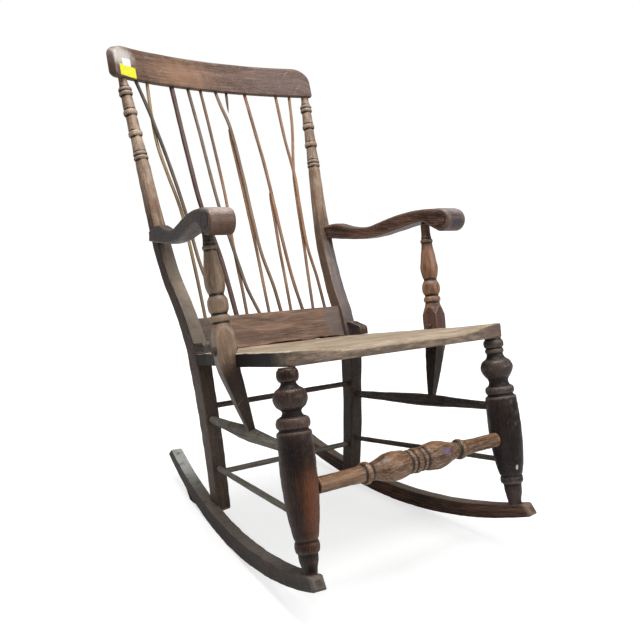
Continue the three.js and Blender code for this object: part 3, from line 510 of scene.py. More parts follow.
# Rear posts
# Leg and back post sawn in one piece that bends back above the seat: square with worn arrises up to the arms,
# then shaved round, then turned with barrels and paired rings under the crest rail.
CREST_HEIGHT = 952
POST_WIDTH = 31.5
POST_HALF_GAUGE, POST_SPLAY = 174.5, 0.0762
SAWN_TO, ROUND_FROM = 575, 747
POST_LINE = [(25, 437, 0), (159, 446, 0), (250, 458.5, 0), (330, 472, 0), (370, 489, -3), (415, 511, -3),
             (460, 541, -3), (510, 573, 0), (562, 600, 0), (650, 635, 0), (779, 677, 0), (952, 736, 0)]
POST_DEPTHS = [(25, 33), (120, 33), (200, 37), (270, 41.5), (330, 42), (370, 40), (415, 37), (460, 33.5),
               (562, 30), (691, 30)]


def post_x(z):
    """How far a post's middle stands from the chair's at a height: the posts splay towards the top."""
    return POST_HALF_GAUGE + POST_SPLAY * z


def flowing(points, per_span=12):
    """A curve through the points: on each span the centripetal cubic, whose slopes follow its neighbours."""
    p = np.asarray(points, float)
    p = np.vstack([2 * p[0] - p[1], p, 2 * p[-1] - p[-2]])
    gap = np.sqrt(np.linalg.norm(np.diff(p, axis=0), axis=1))[:, None]
    p0, p1, p2, p3 = p[:-3], p[1:-2], p[2:-1], p[3:]
    d0, d1, d2 = gap[:-2], gap[1:-1], gap[2:]
    leave = ((p1 - p0) / d0 - (p2 - p0) / (d0 + d1) + (p2 - p1) / d1) * d1
    arrive = ((p2 - p1) / d1 - (p3 - p1) / (d1 + d2) + (p3 - p2) / d2) * d1
    t = (np.arange(per_span) / per_span)[:, None, None]
    curve = (2 * t**3 - 3 * t**2 + 1) * p1 + (t**3 - 2 * t**2 + t) * leave
    curve = curve + (3 * t**2 - 2 * t**3) * p2 + (t**3 - t**2) * arrive
    return np.vstack([curve.transpose(1, 0, 2).reshape(-1, p.shape[1]), p[-2]])


def evenly(points, step):
    """The same line through points at equal distances along it."""
    reach = np.r_[0, np.cumsum(np.linalg.norm(np.diff(points, axis=0), axis=1))]
    at = np.linspace(0, reach[-1], int(reach[-1] / step) + 2)
    return np.stack([np.interp(at, reach, column) for column in np.asarray(points).T], -1)


def bead(start, end, base, crown):
    """A half-round ring between two stations: the diameter follows a half ellipse from base to crown."""
    t = np.linspace(0, np.pi, 15)
    return np.stack([(start + end) / 2 - (end - start) / 2 * np.cos(t), base + (crown - base) * np.sin(t)],
                    -1).tolist()


def frames(line, sideways=(1, 0, 0)):
    """Directions along a line and the two across it, the first of those as near sideways as it can be."""
    along = np.gradient(line, axis=0)
    along /= np.linalg.norm(along, axis=-1, keepdims=True)
    across = np.array(sideways, float) - along * (along @ np.array(sideways, float))[:, None]
    across /= np.linalg.norm(across, axis=-1, keepdims=True)
    return along, across, np.cross(along, across)


post_curve = flowing([(post_x(z) + waist, y, z) for z, y, waist in POST_LINE], 40)
POST_TURNING = [(0, 19), (10, 19.5), (18, 22), *bead(23, 31, 25, 31), *bead(32, 40, 26, 31.5), (41.5, 24.6),
                (56, 26), (70, 27.5), (72, 25.5), *bead(73, 84, 27, 32), (85.5, 24.8), (103, 26.5), (118, 28),
                *bead(120, 131, 27.5, 32.5),
                (132.5, 25.4), (150, 27.5), (164, 30), *bead(166, 174, 27.6, 32.5), *bead(175, 183, 27.6, 33),
                (184.5, 28.6), (200, 31)]


def post_at(z):
    """The middle of the left post at a height."""
    return np.stack([np.interp(z, post_curve[:, 2], post_curve[:, k]) for k in range(3)], -1)


POST_STEP = 1.5
post_line = evenly(post_curve, POST_STEP)
post_z = post_line[:, 2]
_, across, back = frames(post_line)
depth = np.interp(post_z, *np.array(POST_DEPTHS).T)
down, diameter = np.array(POST_TURNING).T
turned_radius = np.interp(CREST_HEIGHT - post_z, down, diameter) / 2
roundness = np.clip((post_z - SAWN_TO) / (ROUND_FROM - SAWN_TO), 0, 1) ** 1.3
POST_MARKS_AND_PAINTED_SHADE = {
    # The first and last marks of each post are painted shade: a painted shadow where the arm meets the post, and
    # painted shade over the leg below the seat.
    "right": [((-0.222, 0.19, 0.545), (0.05, 0.05, 0.06), (34, 28, 25), 0.8, 0.6, 0.8),
              ((-0.245, 0.14, 0.47), (0.03, 0.16, 0.14), (92, 64, 48), 0.6, 0.4, 0.6),
              ((-0.2, 0.1, 0.42), (0.05, 0.06, 0.05), (46, 46, 44), 0.6, 0.6, 0.9),
              ((-0.19, 0.02, 0.16), (0.09, 0.14, 0.24), (58, 46, 38), 0.8, 0.25, 0.5)],
    "left": [((0.22, 0.2, 0.6), (0.05, 0.05, 0.05), (60, 46, 40), 0.5, 0.6, 0.8),
             ((0.2, 0.06, 0.38), (0.06, 0.06, 0.04), (110, 76, 50), 0.5, 0.6, 0.9),
             ((0.19, 0.02, 0.16), (0.09, 0.14, 0.26), (42, 31, 26), 0.88, 0.25, 0.5)],
}
# Painted light and shade, by the way a post's faces turn: the right post's outer face darkened and a grey cast
# on its front, the left post's inner face darkened and a cool blue-grey on its front.
POST_PAINTED_LIGHT = {
    "right": [("X", 0.3, 0.64, (62, 43, 34), 0.88), ("Y", 0.36, 0.54, (132, 124, 110), 0.5)],
    "left": [("X", 0.34, 0.58, (98, 72, 56), 0.75), ("Y", 0.34, 0.56, (98, 101, 110), 0.6)],
}
for hand, side in HANDS.items():
    foot_easing = corner_fall(3, post_z - post_z[0])
    arris = 2.2 + 0.8 * unevenness(post_line, 70, 5 + side)
    base = block_section(POST_WIDTH / 2 - foot_easing, depth / 2 - foot_easing, arris, (6, 7), 6)
    direction = base / np.linalg.norm(base, axis=-1, keepdims=True)
    blend = roundness[:, None, None]
    sections = base * (1 - blend) + direction * turned_radius[:, None, None] * blend
    sections = sections * (1 - 0.02 * (1 + unevenness(post_line, 130, side)))[:, None, None]
    rings = laid_along(post_line, sections, across, back)
    rings += 0.25 * unevenness(rings, 30, 8 + side)[..., None] * (rings - post_line[:, None]) / 16
    run = np.arange(len(post_line)) * POST_STEP
    rings, grain = closed_ends(rings, sections, fibres(run, sections))
    rings[..., 0] *= side
    grain[..., 1] += 25 * side
    post_wood = wood(
        f"worn post {hand}", (108, 84, 67), (174, 149, 126), (206, 186, 165), (214, 198, 180), dust=0.1,
        gloss=0.36,
        blotch=(112, 80, 60), blotched=0.6, rubbed=0.2, streaks=0.55, soiled=0.95, marks=POST_MARKS_AND_PAINTED_SHADE[hand])
    # Painted light and shade on the faces that turn to the side and to the front.
    for axis, bottom, top, shade, strength in POST_PAINTED_LIGHT[hand]:
        painted_light_on_faces(post_wood, axis, -1, bottom, top, shade, strength)
    carve(f"rear_post_{hand}", rings, grain, post_wood)

# Crest rail
# A thick plank bowed to the sitter's back, its top corners rounded to two different radii, its arrises soft.
# A blank yellow price sticker and the stub of a white tag are stuck to it at the sitter's right end.
CREST_BOW, CREST_MIDDLE_Y = 570, 790
CREST_HALF_WIDTH, CREST_SIDEWAYS = 268, -5
CREST_THICKNESS, CREST_TALL = 27, 78
CREST_LEAN = math.radians(18.8)
CREST_CORNERS = {1: 38, -1: 29}


def crest_y(x):
    """Where the bowed rail's middle line stands from front to back: an arc about the chair's middle."""
    return CREST_MIDDLE_Y - CREST_BOW + np.sqrt(CREST_BOW**2 - x**2)


near = 40 * (1 - np.cos(np.linspace(0, np.pi / 2, 22)))
between = np.linspace(42 - CREST_HALF_WIDTH, CREST_HALF_WIDTH - 42, 150)
station = np.concatenate([near - CREST_HALF_WIDTH, between, CREST_HALF_WIDTH - near[::-1]])
from_end = CREST_HALF_WIDTH - np.abs(station)
radius = np.where(station > 0, CREST_CORNERS[1], CREST_CORNERS[-1])
rise = corner_fall(np.where(station > 0, 6.0, 15.0), from_end)
top = CREST_TALL - corner_fall(radius, from_end)
x = station + CREST_SIDEWAYS
sag = 0.8 * (1 + unevenness(np.c_[x, 0 * x, 0 * x], 150, 4))
foot = np.stack([x, crest_y(x), CREST_HEIGHT + 0 * x], -1)
bow = np.arcsin(x / CREST_BOW)
outward = np.stack([np.sin(bow), np.cos(bow), 0 * x], -1)
upward = np.array([0, math.sin(CREST_LEAN), math.cos(CREST_LEAN)])
thin = corner_fall(5.0, from_end)
tall = top - sag * (from_end > 1) - rise
sections = block_section(CREST_THICKNESS / 2 - thin, tall / 2, 4.6 - 0.6 * unevenness(foot, 80, 2), (8, 20), 7)
middle = foot + upward * (rise + tall / 2)[:, None]
rings = laid_along(middle, sections, outward, upward)
rings -= 0.3 * (1 + unevenness(rings, 34, 6))[..., None] * outward[:, None] * np.sign(sections[..., :1])
rings, grain = closed_ends(rings, sections, fibres(x, sections[..., ::-1]), 6)
YELLOW, TAG_WHITE = (226, 222, 60), (236, 236, 232)
crest_wood = wood(
    "crest stain", (70, 49, 39), (120, 92, 77), (158, 130, 112), (184, 166, 152), gloss=0.44, dust=0.06,
    scratched=0.4, blotch=(92, 70, 61), blotched=0.5, rings=0.3, streaks=0.6, rubbed=0.22,
    # The second mark is a painted highlight, glare on the rounded top corner at the sitter's right end.
    marks=[((-0.077, 0.416, 0.956), (0.075, 0.06, 0.03), (172, 132, 103), 0.45, 0.8, 1.4),
           ((-0.252, 0.366, 0.976), (0.034, 0.05, 0.018), (220, 214, 207), 0.75, 0.6, 1.3),
           ((-0.2755, 0.365, 0.945), (0.0085, 0.06, 0.06), (84, 62, 52), 0.85, 0.3, 0.4),
           ((0.18, 0.39, 0.955), (0.09, 0.06, 0.03), (100, 82, 78), 0.5, 0.6, 0.8)],
    labels=[((-0.2345, 0.363, 0.943), (0.0218, 1, 0.0122), 0.13, YELLOW),
            ((-0.236, 0.366, 0.9628), (0.0115, 1, 0.008), 0.05, TAG_WHITE)])
carve("crest_rail", rings, grain, crest_wood)

# Back board
# A low board let into the posts. It stands on the seat, and a few millimetres clear of it where its foot has
# broken away.
SEAT_TILT = math.radians(9.8)
SEAT_FRONT_Y, SEAT_FRONT_HEIGHT, SEAT_THICKNESS = 52, 435, 26
BOARD_TOP_Y, BOARD_TOP_HEIGHT, BOARD_BOTTOM_Y, BOARD_THICKNESS = 508.5, 430.5, 475.5, 17


def seat_top(y):
    """The height of the seat's upper face, before wear."""
    return SEAT_FRONT_HEIGHT - math.tan(SEAT_TILT) * (y - SEAT_FRONT_Y)


def seat_under(y):
    return seat_top(y) - SEAT_THICKNESS / math.cos(SEAT_TILT)


board_foot = seat_top(BOARD_BOTTOM_Y)
half_foot = post_x(board_foot) - POST_WIDTH / 2 + 5
half_head = post_x(BOARD_TOP_HEIGHT) - POST_WIDTH / 2 + 5
board_up = np.array([0, BOARD_TOP_Y - BOARD_BOTTOM_Y, BOARD_TOP_HEIGHT - board_foot])
board_rise = np.linalg.norm(board_up)
board_up = board_up / board_rise
board_back = np.array([0, board_up[2], -board_up[1]])
share = np.linspace(-1, 1, 170)
board_x = share * half_foot
broken = np.maximum(np.exp(-(((board_x - 18) / 46) ** 6)), np.exp(-(((board_x - 132) / 36) ** 6)))
clear = 0.6 + (3.4 + unevenness(np.c_[board_x, 0 * share, 0 * share], 26, 9)) * broken
sections = block_section(BOARD_THICKNESS / 2, (board_rise - clear) / 2, 1.8, (6, 18))
height = (board_rise + clear)[:, None] / 2 + sections[..., 1]
wide = share[:, None] * (half_foot + (half_head - half_foot) * height / board_rise)
rings = np.stack([wide, BOARD_BOTTOM_Y + height * board_up[1], board_foot + height * board_up[2]], -1)
rings += (BOARD_THICKNESS / 2 + sections[..., :1]) * board_back
rings += 0.25 * unevenness(rings, 40, 3)[..., None] * board_back * np.sign(sections[..., :1])
grain = np.stack([wide, height, sections[..., 0]], -1)
rings, grain = closed_ends(rings, sections, grain)
board_wood = wood(
    "board stain", (84, 60, 47), (138, 109, 90), (168, 139, 118), (184, 158, 136), gloss=0.42, dust=0.1,
    rings=0.3, rubbed=0.4, streaks=0.5,
    marks=[((-0.074, 0.086, 0.372), (0.034, 0.04, 0.016), (92, 70, 58), 0.6, 0.25, 0.3),
           ((0.172, 0.09, 0.385), (0.032, 0.05, 0.05), (112, 106, 104), 0.6, 0.4, 0.4),
           ((-0.19, 0.09, 0.38), (0.06, 0.05, 0.05), (74, 66, 62), 0.7, 0.4, 0.4)])
carve("back_board", rings, grain, board_wood)

# Sticks of the back
# Eleven whittled sticks that bend past one another in pairs; the seventh and the ninth have snapped off to
# splintered points, and the seventh has left a stump in the rail. The right-hand sticks are older and darker.
STICK_SET = 5.3
BOARD_TOP_MIDDLE_Y = BOARD_TOP_Y + BOARD_THICKNESS / 2 / math.cos(math.radians(29))
STICKS = {
    1: (4.2, 1, [(0, -123, 0), (0.2, -147, -0.6), (0.44, -156, -1), (0.62, -168, -1), (0.78, -183, -1),
                 (0.86, -191, -0.8), (1, -210, 0)]),
    2: (4.0, 1, [(0, -164, 0), (0.2, -160, 0.6), (0.44, -161, 1), (0.6, -175, 1), (0.72, -184, 1),
                 (0.86, -183, 0.8), (1, -178, 0)]),
    3: (5.8, 1, [(0, -87, 0), (0.24, -91, 0), (0.46, -108, 0), (0.65, -110, 0), (1, -109, 0)]),
    4: (4.1, 1, [(0, -28, 0), (0.1, -44, -0.6), (0.2, -51, -1), (0.3, -56, -1), (0.46, -62, -0.6),
                 (0.8, -61, 0), (1, -63, 0)]),
    5: (3.9, 1, [(0, -60, 0), (0.1, -54, 0.6), (0.2, -50, 1), (0.3, -46, 1), (0.48, -35, 0.6), (0.8, -30, 0),
                 (1, -28, 0)]),
    6: (4.3, 1, [(0, 30, 0), (0.1, 27, -0.6), (0.25, 17, -1), (0.4, 19, -1), (0.6, 24, -1), (0.84, 25, -1),
                 (0.93, 18, -0.4), (1, 14, 0)]),
    7: (3.9, 0.25, [(0, -2, 0), (0.1, 4, 0.6), (0.25, 12, 1), (0.45, 18, 1), (0.6, 22, 1), (0.82, 26, 1)]),
    8: (4.3, 1, [(0, 90, 0), (0.13, 84, -0.6), (0.28, 84, -1), (0.45, 88, -1), (0.65, 93, -0.6),
                 (0.82, 94, 0), (1, 93, 0)]),
    9: (3.9, 0.25, [(0, 58, 0), (0.13, 67, 0.4), (0.28, 77, 1), (0.42, 86, 1), (0.52, 91, 1)]),
    10: (4.0, 1, [(0, 155, 0), (0.13, 154, -0.6), (0.27, 149, -1), (0.43, 156, -1), (0.6, 166, -1),
                  (0.78, 168, -0.4), (1, 174, 0)]),
    11: (3.9, 1, [(0, 121, 0), (0.14, 134, 0.5), (0.28, 147, 1), (0.43, 157, 1), (0.6, 170, 1), (0.7, 181, 0.7),
                  (0.85, 197, 0), (1, 208, 0)]),
}


def stick_point(share, x, bent):
    """A point on a stick's way from board to rail; bent is 1 or -1 where it passes behind or before."""
    y = BOARD_TOP_MIDDLE_Y + (crest_y(x) - BOARD_TOP_MIDDLE_Y) * share + bent * STICK_SET
    return np.array([x, y, BOARD_TOP_HEIGHT + (CREST_HEIGHT - BOARD_TOP_HEIGHT) * share])


def whittled(line, radius, seed, count=16, shaved=0.07, sideways=(1, 0, 0)):
    """A shaved stick along a line: its radius wanders in long facets, and its ends close on the middle line."""
    _, across, back = frames(line, sideways)
    angles = 2 * np.pi * np.arange(count) / count
    run = np.r_[0, np.cumsum(np.linalg.norm(np.diff(line, axis=0), axis=1))]
    reach = run[:, None]
    facets = np.cos(3 * angles + seed + reach / 60) * 0.4 + np.cos(5 * angles - reach / 90 + 2 * seed) * 0.3
    hollows = unevenness(line, 55, seed)[:, None]
    thick = radius * (1 - shaved * 0.6 + shaved * 0.5 * facets - shaved * 0.5 * hollows)
    sections = np.stack([thick * np.cos(angles), thick * np.sin(angles)], -1)
    rings = laid_along(line, sections, across, back)
    grain = fibres(run, sections)
    grain[..., 1] += 9 * seed
    shut_start, shut_end = line[:1, None] + 0 * rings[:1], line[-1:, None] + 0 * rings[-1:]
    return np.concatenate([shut_start, rings, shut_end]), np.concatenate([grain[:1], grain, grain[-1:]])


TAN_STICK = dict(dark=(116, 82, 60), mid=(160, 121, 92), light=(194, 158, 126), worn=(206, 176, 146),
                 rubbed=0.4, dust=0.1, gloss=0.6, rings=0.15, scratched=0.1)
foot_shade = [((0.0, 0.12, 0.41), (0.4, 0.06, 0.055), (88, 72, 62), 0.7, 0.5, 0.6)]
stick_woods = {
    1: wood("old dark stick 1", (76, 66, 58), (100, 86, 74), (132, 112, 92), (150, 132, 112), rubbed=0.3,
            gloss=0.6,
            marks=[((-0.17, 0.15, 0.5), (0.1, 0.2, 0.09), (150, 122, 92), 0.6, 0.5, 0.5)]),
    2: wood("ochre stick 2", (132, 108, 76), (164, 138, 100), (190, 164, 126), (200, 176, 140), rubbed=0.3,
            gloss=0.6,
            marks=[((-0.16, 0.15, 0.47), (0.1, 0.2, 0.08), (84, 72, 62), 0.6, 0.5, 0.5)]),
    3: wood("purple-brown stick 3", (66, 46, 42), (92, 66, 60), (120, 92, 84), (140, 116, 104), rubbed=0.3,
            gloss=0.55),
    4: wood("dusty stick 4", (94, 80, 68), (122, 104, 88), (150, 132, 114), (160, 144, 126), rubbed=0.3,
            gloss=0.7),
    5: wood("stick 5", marks=[((-0.03, 0.35, 0.86), (0.05, 0.2, 0.12), (92, 72, 60), 0.7, 0.5, 0.5),
                              *foot_shade], **TAN_STICK),
    6: wood("stick 6", (110, 88, 72), (140, 114, 92), (168, 142, 118), (180, 158, 136), rubbed=0.3, gloss=0.6,
            marks=foot_shade),
    7: wood("tan broken stick", marks=foot_shade, **TAN_STICK),
}
stick_woods.update({n: wood(f"tan stick {n}", marks=foot_shade, **TAN_STICK) for n in (8, 9, 10, 11)})
for number, (thickness, taper, path) in STICKS.items():
    knots = np.array([stick_point(*one) for one in path])
    into_board = knots[0] + (knots[0] - knots[1]) / np.linalg.norm(knots[0] - knots[1]) * 12
    into_rail = knots[-1] + (knots[-1] - knots[-2]) / np.linalg.norm(knots[-1] - knots[-2]) * 12
    knots = np.vstack([into_board, knots] + ([into_rail] if taper == 1 else []))
    line = evenly(flowing(knots, 14), 2.6)
    share = np.linspace(0, 1, len(line))[:, None]
    snapped = np.clip((share - 0.94) / 0.06, 0, 1)
    angles = 2 * np.pi * np.arange(16) / 16
    splinter = 1 - (1 - taper) * snapped * (0.8 + 0.25 * np.cos(2 * angles + number))
    rings, grain = whittled(line, thickness * splinter, number)
    carve(f"back_stick_{number}", rings, grain, stick_woods[number])
stump_line = np.linspace(stick_point(1.02, 45, 0), stick_point(0.9, 35, 0), 36)
stump_thick = np.interp(np.linspace(0, 1, 36), [0, 0.5, 0.82, 1], [3.8, 3.5, 2.1, 0.5])[:, None]
rings, grain = whittled(stump_line, stump_thick, 12)
stump_wood = wood("snapped stump", (60, 46, 38), (86, 68, 56), (130, 108, 88), (160, 136, 110), gloss=0.7)
carve("back_stick_7_stump", rings, grain, stump_wood)

# Seat
# One wide plank with the grain from side to side, higher at the front and dished for the sitter. Its front arris
# is worn into a long roll between the corners. Pale and bare on top, darker brown on its edges, with painted
# shade, near black, on the side edge at the sitter's right.
SEAT_LENGTH, SEAT_LEFT_WIDER = 448, 4
SEAT_CORNERS = {"right": 18, "left": 4}
SEAT_EDGE = [(249, 10), (252, 153), (237, 223), (213, 369)]


def seat_place(x, v, h):
    """A point of the plank, given across, along the slope from the front, and up from its underside."""
    c, s = math.cos(SEAT_TILT), math.sin(SEAT_TILT)
    return np.stack([x + 0 * v, SEAT_FRONT_Y + v * c + h * s, seat_under(SEAT_FRONT_Y) - v * s + h * c], -1)


def swept(low, high, value):
    """0 below the one value and 1 above the other, smooth between."""
    t = np.clip((value - low) / (high - low), 0, 1)
    return t * t * (3 - 2 * t)


def seat_drop(x, v):
    """How far the top is worn down: a shallow dish, and along the front a quarter ellipse, deepest mid-way."""
    away = (x / 208) ** 2 + ((v - 222) / 192) ** 2
    dish = 8 * np.clip(1 - away, 0, 1) ** 1.15
    rolled = swept(-236, -120, x) * (1 - swept(150, 246, x))
    deep, far = 1.8 + 11.5 * rolled, 3.5 + 32 * rolled
    left = np.clip(1 - v / far, 0, 1)
    roll = deep * (1 - np.sqrt(1 - left**2))
    hills = 0.35 * (1 + unevenness(np.stack([x + 0 * v, 3 * v + 0 * x, 0 * x + 0 * v], -1), 170, 3))
    proud = 3.6 * swept(140, 250, x) * np.clip(1 - v / 110, 0, 1)
    return dish + roll + hills - proud


t = np.linspace(0, 1, 80)
bezier = np.stack([(1 - t) ** 3, 3 * t * (1 - t) ** 2, 3 * t**2 * (1 - t), t**3], -1) @ np.array(SEAT_EDGE)
edge_v, edge_x = np.r_[0, bezier[:, 1], SEAT_LENGTH], np.r_[249, bezier[:, 0], 211] + 3
v = along_piece(SEAT_LENGTH, 4.2, 3.5)
v = np.unique(np.r_[v, np.linspace(0, 40, 24)])
half = np.interp(v, edge_v, edge_x) - corner_fall(3.0, SEAT_LENGTH - v)
half += 9 * np.exp(-(((v - 208) / 46) ** 4)) - 0.4 * (1 + unevenness(np.c_[v, 0 * v, 0 * v], 60, 2))
squeeze = corner_fall(3.5, v) + corner_fall(3.0, SEAT_LENGTH - v)
sections = block_section(half, SEAT_THICKNESS / 2 + 0 * v, 3.4, (150, 6), 5)
across_x, up_h = sections[..., 0], sections[..., 1] + SEAT_THICKNESS / 2
narrowed = np.where(across_x < 0, corner_fall(SEAT_CORNERS["right"], v)[:, None],
                    corner_fall(SEAT_CORNERS["left"], v)[:, None] - SEAT_LEFT_WIDER)
across_x = across_x * (1 - narrowed / half[:, None])
up_h = up_h + squeeze[:, None] * (1 - 2 * up_h / SEAT_THICKNESS) * (up_h < SEAT_THICKNESS / 2)
up_h = up_h * (1 - seat_drop(across_x, v[:, None]) / SEAT_THICKNESS)
rings = seat_place(across_x, v[:, None], up_h)
grain = np.stack([across_x, v[:, None] + 0 * across_x, up_h], -1)
for end in (0, -1):
    middle_x = np.clip(across_x[end], across_x[end].min() + 10, across_x[end].max() - 10)
    middle_h = (SEAT_THICKNESS - seat_drop(middle_x, v[end] + 0 * middle_x) + squeeze[end]) / 2
    share = np.linspace(0, 1, 6)[1:, None]
    inner_x = across_x[end] + (middle_x - across_x[end]) * share
    inner_h = up_h[end] + (middle_h - up_h[end]) * share
    inner_v = v[end] + 0 * inner_x
    shut = seat_place(inner_x, inner_v, inner_h), np.stack([inner_x, inner_v, inner_h], -1)
    if end == 0:
        front_shut = [places[::-1] for places in shut]
rings, grain = (np.concatenate(three) for three in zip(front_shut, (rings, grain), shut))
# The colour of the painted shade on the seat's side edge.
PAINTED_SIDE_SHADE = (30, 26, 24)
seat_wood = wood(
    "bare worn seat", (142, 121, 97), (202, 184, 160), (226, 213, 195), (228, 218, 202), gloss=0.48,
    dust=0.05, rings=0.45,
    streaks=0.5, rubbed=0.7, scratched=0.2, soiled=0.3, blotch=(142, 120, 96), blotched=0.45)
carve("seat", rings, grain, seat_wood)


def seat_edges(material):
    """The plank's steep edges: painted shade, near black, on the side edge at the sitter's right, and patchy
    dark brown along the front.
    """
    tree = material.node_tree
    shader = tree.nodes["Principled BSDF"]
    colour = shader.inputs["Base Color"].links[0].from_socket
    facing = turned_to(tree, "Z")
    place = wire(tree, "TexCoord", result="Object")
    steep = fade(plus(facing, times(noise(place, (70, 70, 70)), 0.5)), 0.9, 0.5)
    patchy = fade(noise(place, (30, 30, 120), 5.0, 0.7), 0.4, 0.62)
    edge_colour_and_shade = mixed(patchy, linear((92, 76, 65)), linear((152, 132, 114)))
    far_right = fade(one_axis(place, "X"), 0.18, 0.24)
    edge_colour_and_shade = mixed(far_right, edge_colour_and_shade, linear((104, 82, 78)))
    ragged = times(noise(place, (50, 50, 50)), 0.06)
    # Painted shade: the side edge at the sitter's right is made near black back from the front corner.
    sideward = fade(one_axis(place, "X"), -0.18, -0.21)
    back_from_corner = fade(plus(one_axis(place, "Y"), ragged), -0.33, -0.25)
    black = times(sideward, back_from_corner)
    edge_colour_and_shade = mixed(black, edge_colour_and_shade, linear(PAINTED_SIDE_SHADE))
    steep = times(steep, plus(0.78, times(black, 0.22)))
    feed(shader.inputs["Base Color"], mixed(steep, colour, edge_colour_and_shade))


seat_edges(seat_wood)

# Cleats on the seat
# Two small blocks on the seat's rear corners against the posts, each with a rounded nose.
CLEAT_WIDTH, CLEAT_LENGTH, CLEAT_HEIGHT, CLEAT_NOSE = 22, 54, 22, 9
CLEAT_FRONT_Y, CLEAT_GAP = 424, 0.3
cleat_woods = {
    "left": wood("left cleat", (46, 36, 32), (76, 60, 50), (110, 88, 72), (160, 138, 116), gloss=0.5,
                 marks=[((0.2, 0.045, 0.365), (0.03, 0.012, 0.03), (48, 50, 56), 0.8, 0.3, 0.3)]),
    "right": wood("right cleat", (44, 40, 38), (70, 64, 58), (110, 102, 92), (170, 160, 144), gloss=0.7,
                  dust=0.6),
}
for hand, side in HANDS.items():
    v = along_piece(CLEAT_LENGTH, 1.4, 1.2)
    v = np.unique(np.r_[v, CLEAT_NOSE * (1 - np.cos(np.linspace(0, np.pi / 2, 12)))])
    tall = CLEAT_HEIGHT - corner_fall(CLEAT_NOSE, v) - CLEAT_GAP + (11 * swept(4, 44, v) if side > 0 else 0)
    sections = block_section(CLEAT_WIDTH / 2 - end_easing(v, CLEAT_LENGTH, 1.2), tall / 2, 1.6, (7, 7))
    middle_x = side * (post_x(seat_top(CLEAT_FRONT_Y)) + 1)
    h = sections[..., 1] + tall[:, None] / 2
    c, s = math.cos(SEAT_TILT), math.sin(SEAT_TILT)
    along, raised = v[:, None], seat_top(CLEAT_FRONT_Y) + CLEAT_GAP
    rings = np.stack([middle_x + sections[..., 0], CLEAT_FRONT_Y + along * c + h * s,
                      raised - along * s + h * c], -1)
    rings[..., 2] -= 0.3 * (1 + unevenness(rings, 16, side)) * h / CLEAT_HEIGHT
    grain = np.stack([v[:, None] + 0 * h, sections[..., 0] + side * 30, h], -1)
    rings, grain = closed_ends(rings, sections, grain)
    carve(f"seat_cleat_{hand}", rings, grain, cleat_woods[hand])

# Front legs
# Turned from thick stock: a collar, a ball, a cupped ring and a long barrel that narrows to a ringed foot.
# The two are not quite alike, as hand turning goes. Dark red-brown, rubbed grey on the crowns, with painted grey
# highlights over the balls and a painted orange-brown highlight down the right leg's body.
LEG_TOP = np.array([245.5, 69, seat_under(69)])
ROCKER_TOP_AT_LEG = ROCKER_RADIUS - math.sqrt((ROCKER_RADIUS - ROCKER_DEPTH) ** 2 - ROCKER_CENTRE_Y**2)
LEG_FOOT = np.array([248, 0, ROCKER_TOP_AT_LEG])
LEG_LENGTH = float(np.linalg.norm(LEG_TOP - LEG_FOOT))


def up(from_foot):
    """A station given from the leg's foot, as one from its top."""
    return LEG_LENGTH - from_foot


def swell(*pairs):
    """A smooth swelling through a few [station, diameter] pairs."""
    return flowing(pairs, 10).tolist()


LEG_TURNING = {
    "right": [(0.8, 0), (0.8, 30), *bead(3, 24, 30, 38), (25.5, 26.5),
              *swell((28, 27.5), (32, 33), (39, 51), (51, 58.5), (63, 51), (70, 35), (73, 32)),
              (75, 33), (79, 37), (81, 46), *bead(82, 100, 49, 57.5), (101, 49.5), (103, 50.5), (105, 57.5),
              *swell((108, 59), (150, 61), (up(145), 61.5), (up(91), 54.5), (up(50), 42)),
              *bead(up(44), up(26), 37, 42), (up(23), 33),
              *swell((up(20), 33), (up(12), 32), (up(0), 26), (up(-8), 25)), (up(-8), 0)],
    "left": [(0.8, 0), (0.8, 33), *bead(4, 20, 33, 40.5), (20.5, 31.5), *bead(21, 31, 32, 37.5), (33, 33),
             *swell((36, 34), (40, 38), (48, 57), (60, 64.5), (73, 55), (82, 42), (87, 39)),
             (90, 39.5), (94, 42), (96, 47), *bead(97, 112, 50, 57.5), (113, 51), (115, 52.5), (117, 60),
             *swell((120, 62), (160, 65), (up(132), 65.3), (up(76), 55.5), (up(54), 46)),
             *bead(up(50), up(36), 41, 45.5), (up(33), 35.5),
             *swell((up(29), 35), (up(18), 34), (up(0), 27), (up(-9), 25.5)), (up(-9), 0)],
}


def turned(profile, start, towards, count=72, step=1.1, seed=1):
    """A profile of (station, diameter) swung about the line between two points, slightly out of round."""
    outline = evenly(np.array(profile, float) * [1, 0.5], step)
    axis = (np.asarray(towards, float) - start) / np.linalg.norm(np.asarray(towards, float) - start)
    sideways = np.array([0, 1, 0]) if abs(axis[0]) > 0.7 else np.array([1, 0, 0])
    across = sideways - axis * axis[sideways.argmax()]
    across = across / np.linalg.norm(across)
    back = np.cross(axis, across)
    angles = 2 * np.pi * np.arange(count) / count
    radii = outline[:, 1:] * (1 - 0.006 * (1 + np.cos(2 * angles + seed)))
    tool_lines = 1 + np.sin(outline[:, :1] / 3.1 + 2 * np.cos(angles + seed))
    radii = radii - 0.12 * tool_lines * np.minimum(radii / 8, 1)
    sections = np.stack([radii * np.cos(angles), radii * np.sin(angles)], -1)
    middle = np.asarray(start, float) + outline[:, :1] * axis
    rings = laid_along(middle, sections, across, back)
    worn = np.clip(unevenness(rings, 38, seed), 0.3, 1) - 0.3
    rings -= 0.9 * worn[..., None] * (rings - middle[:, None]) / 25
    grain = fibres(outline[:, 0], sections)
    grain[..., 1] += 17 * seed
    return rings, grain


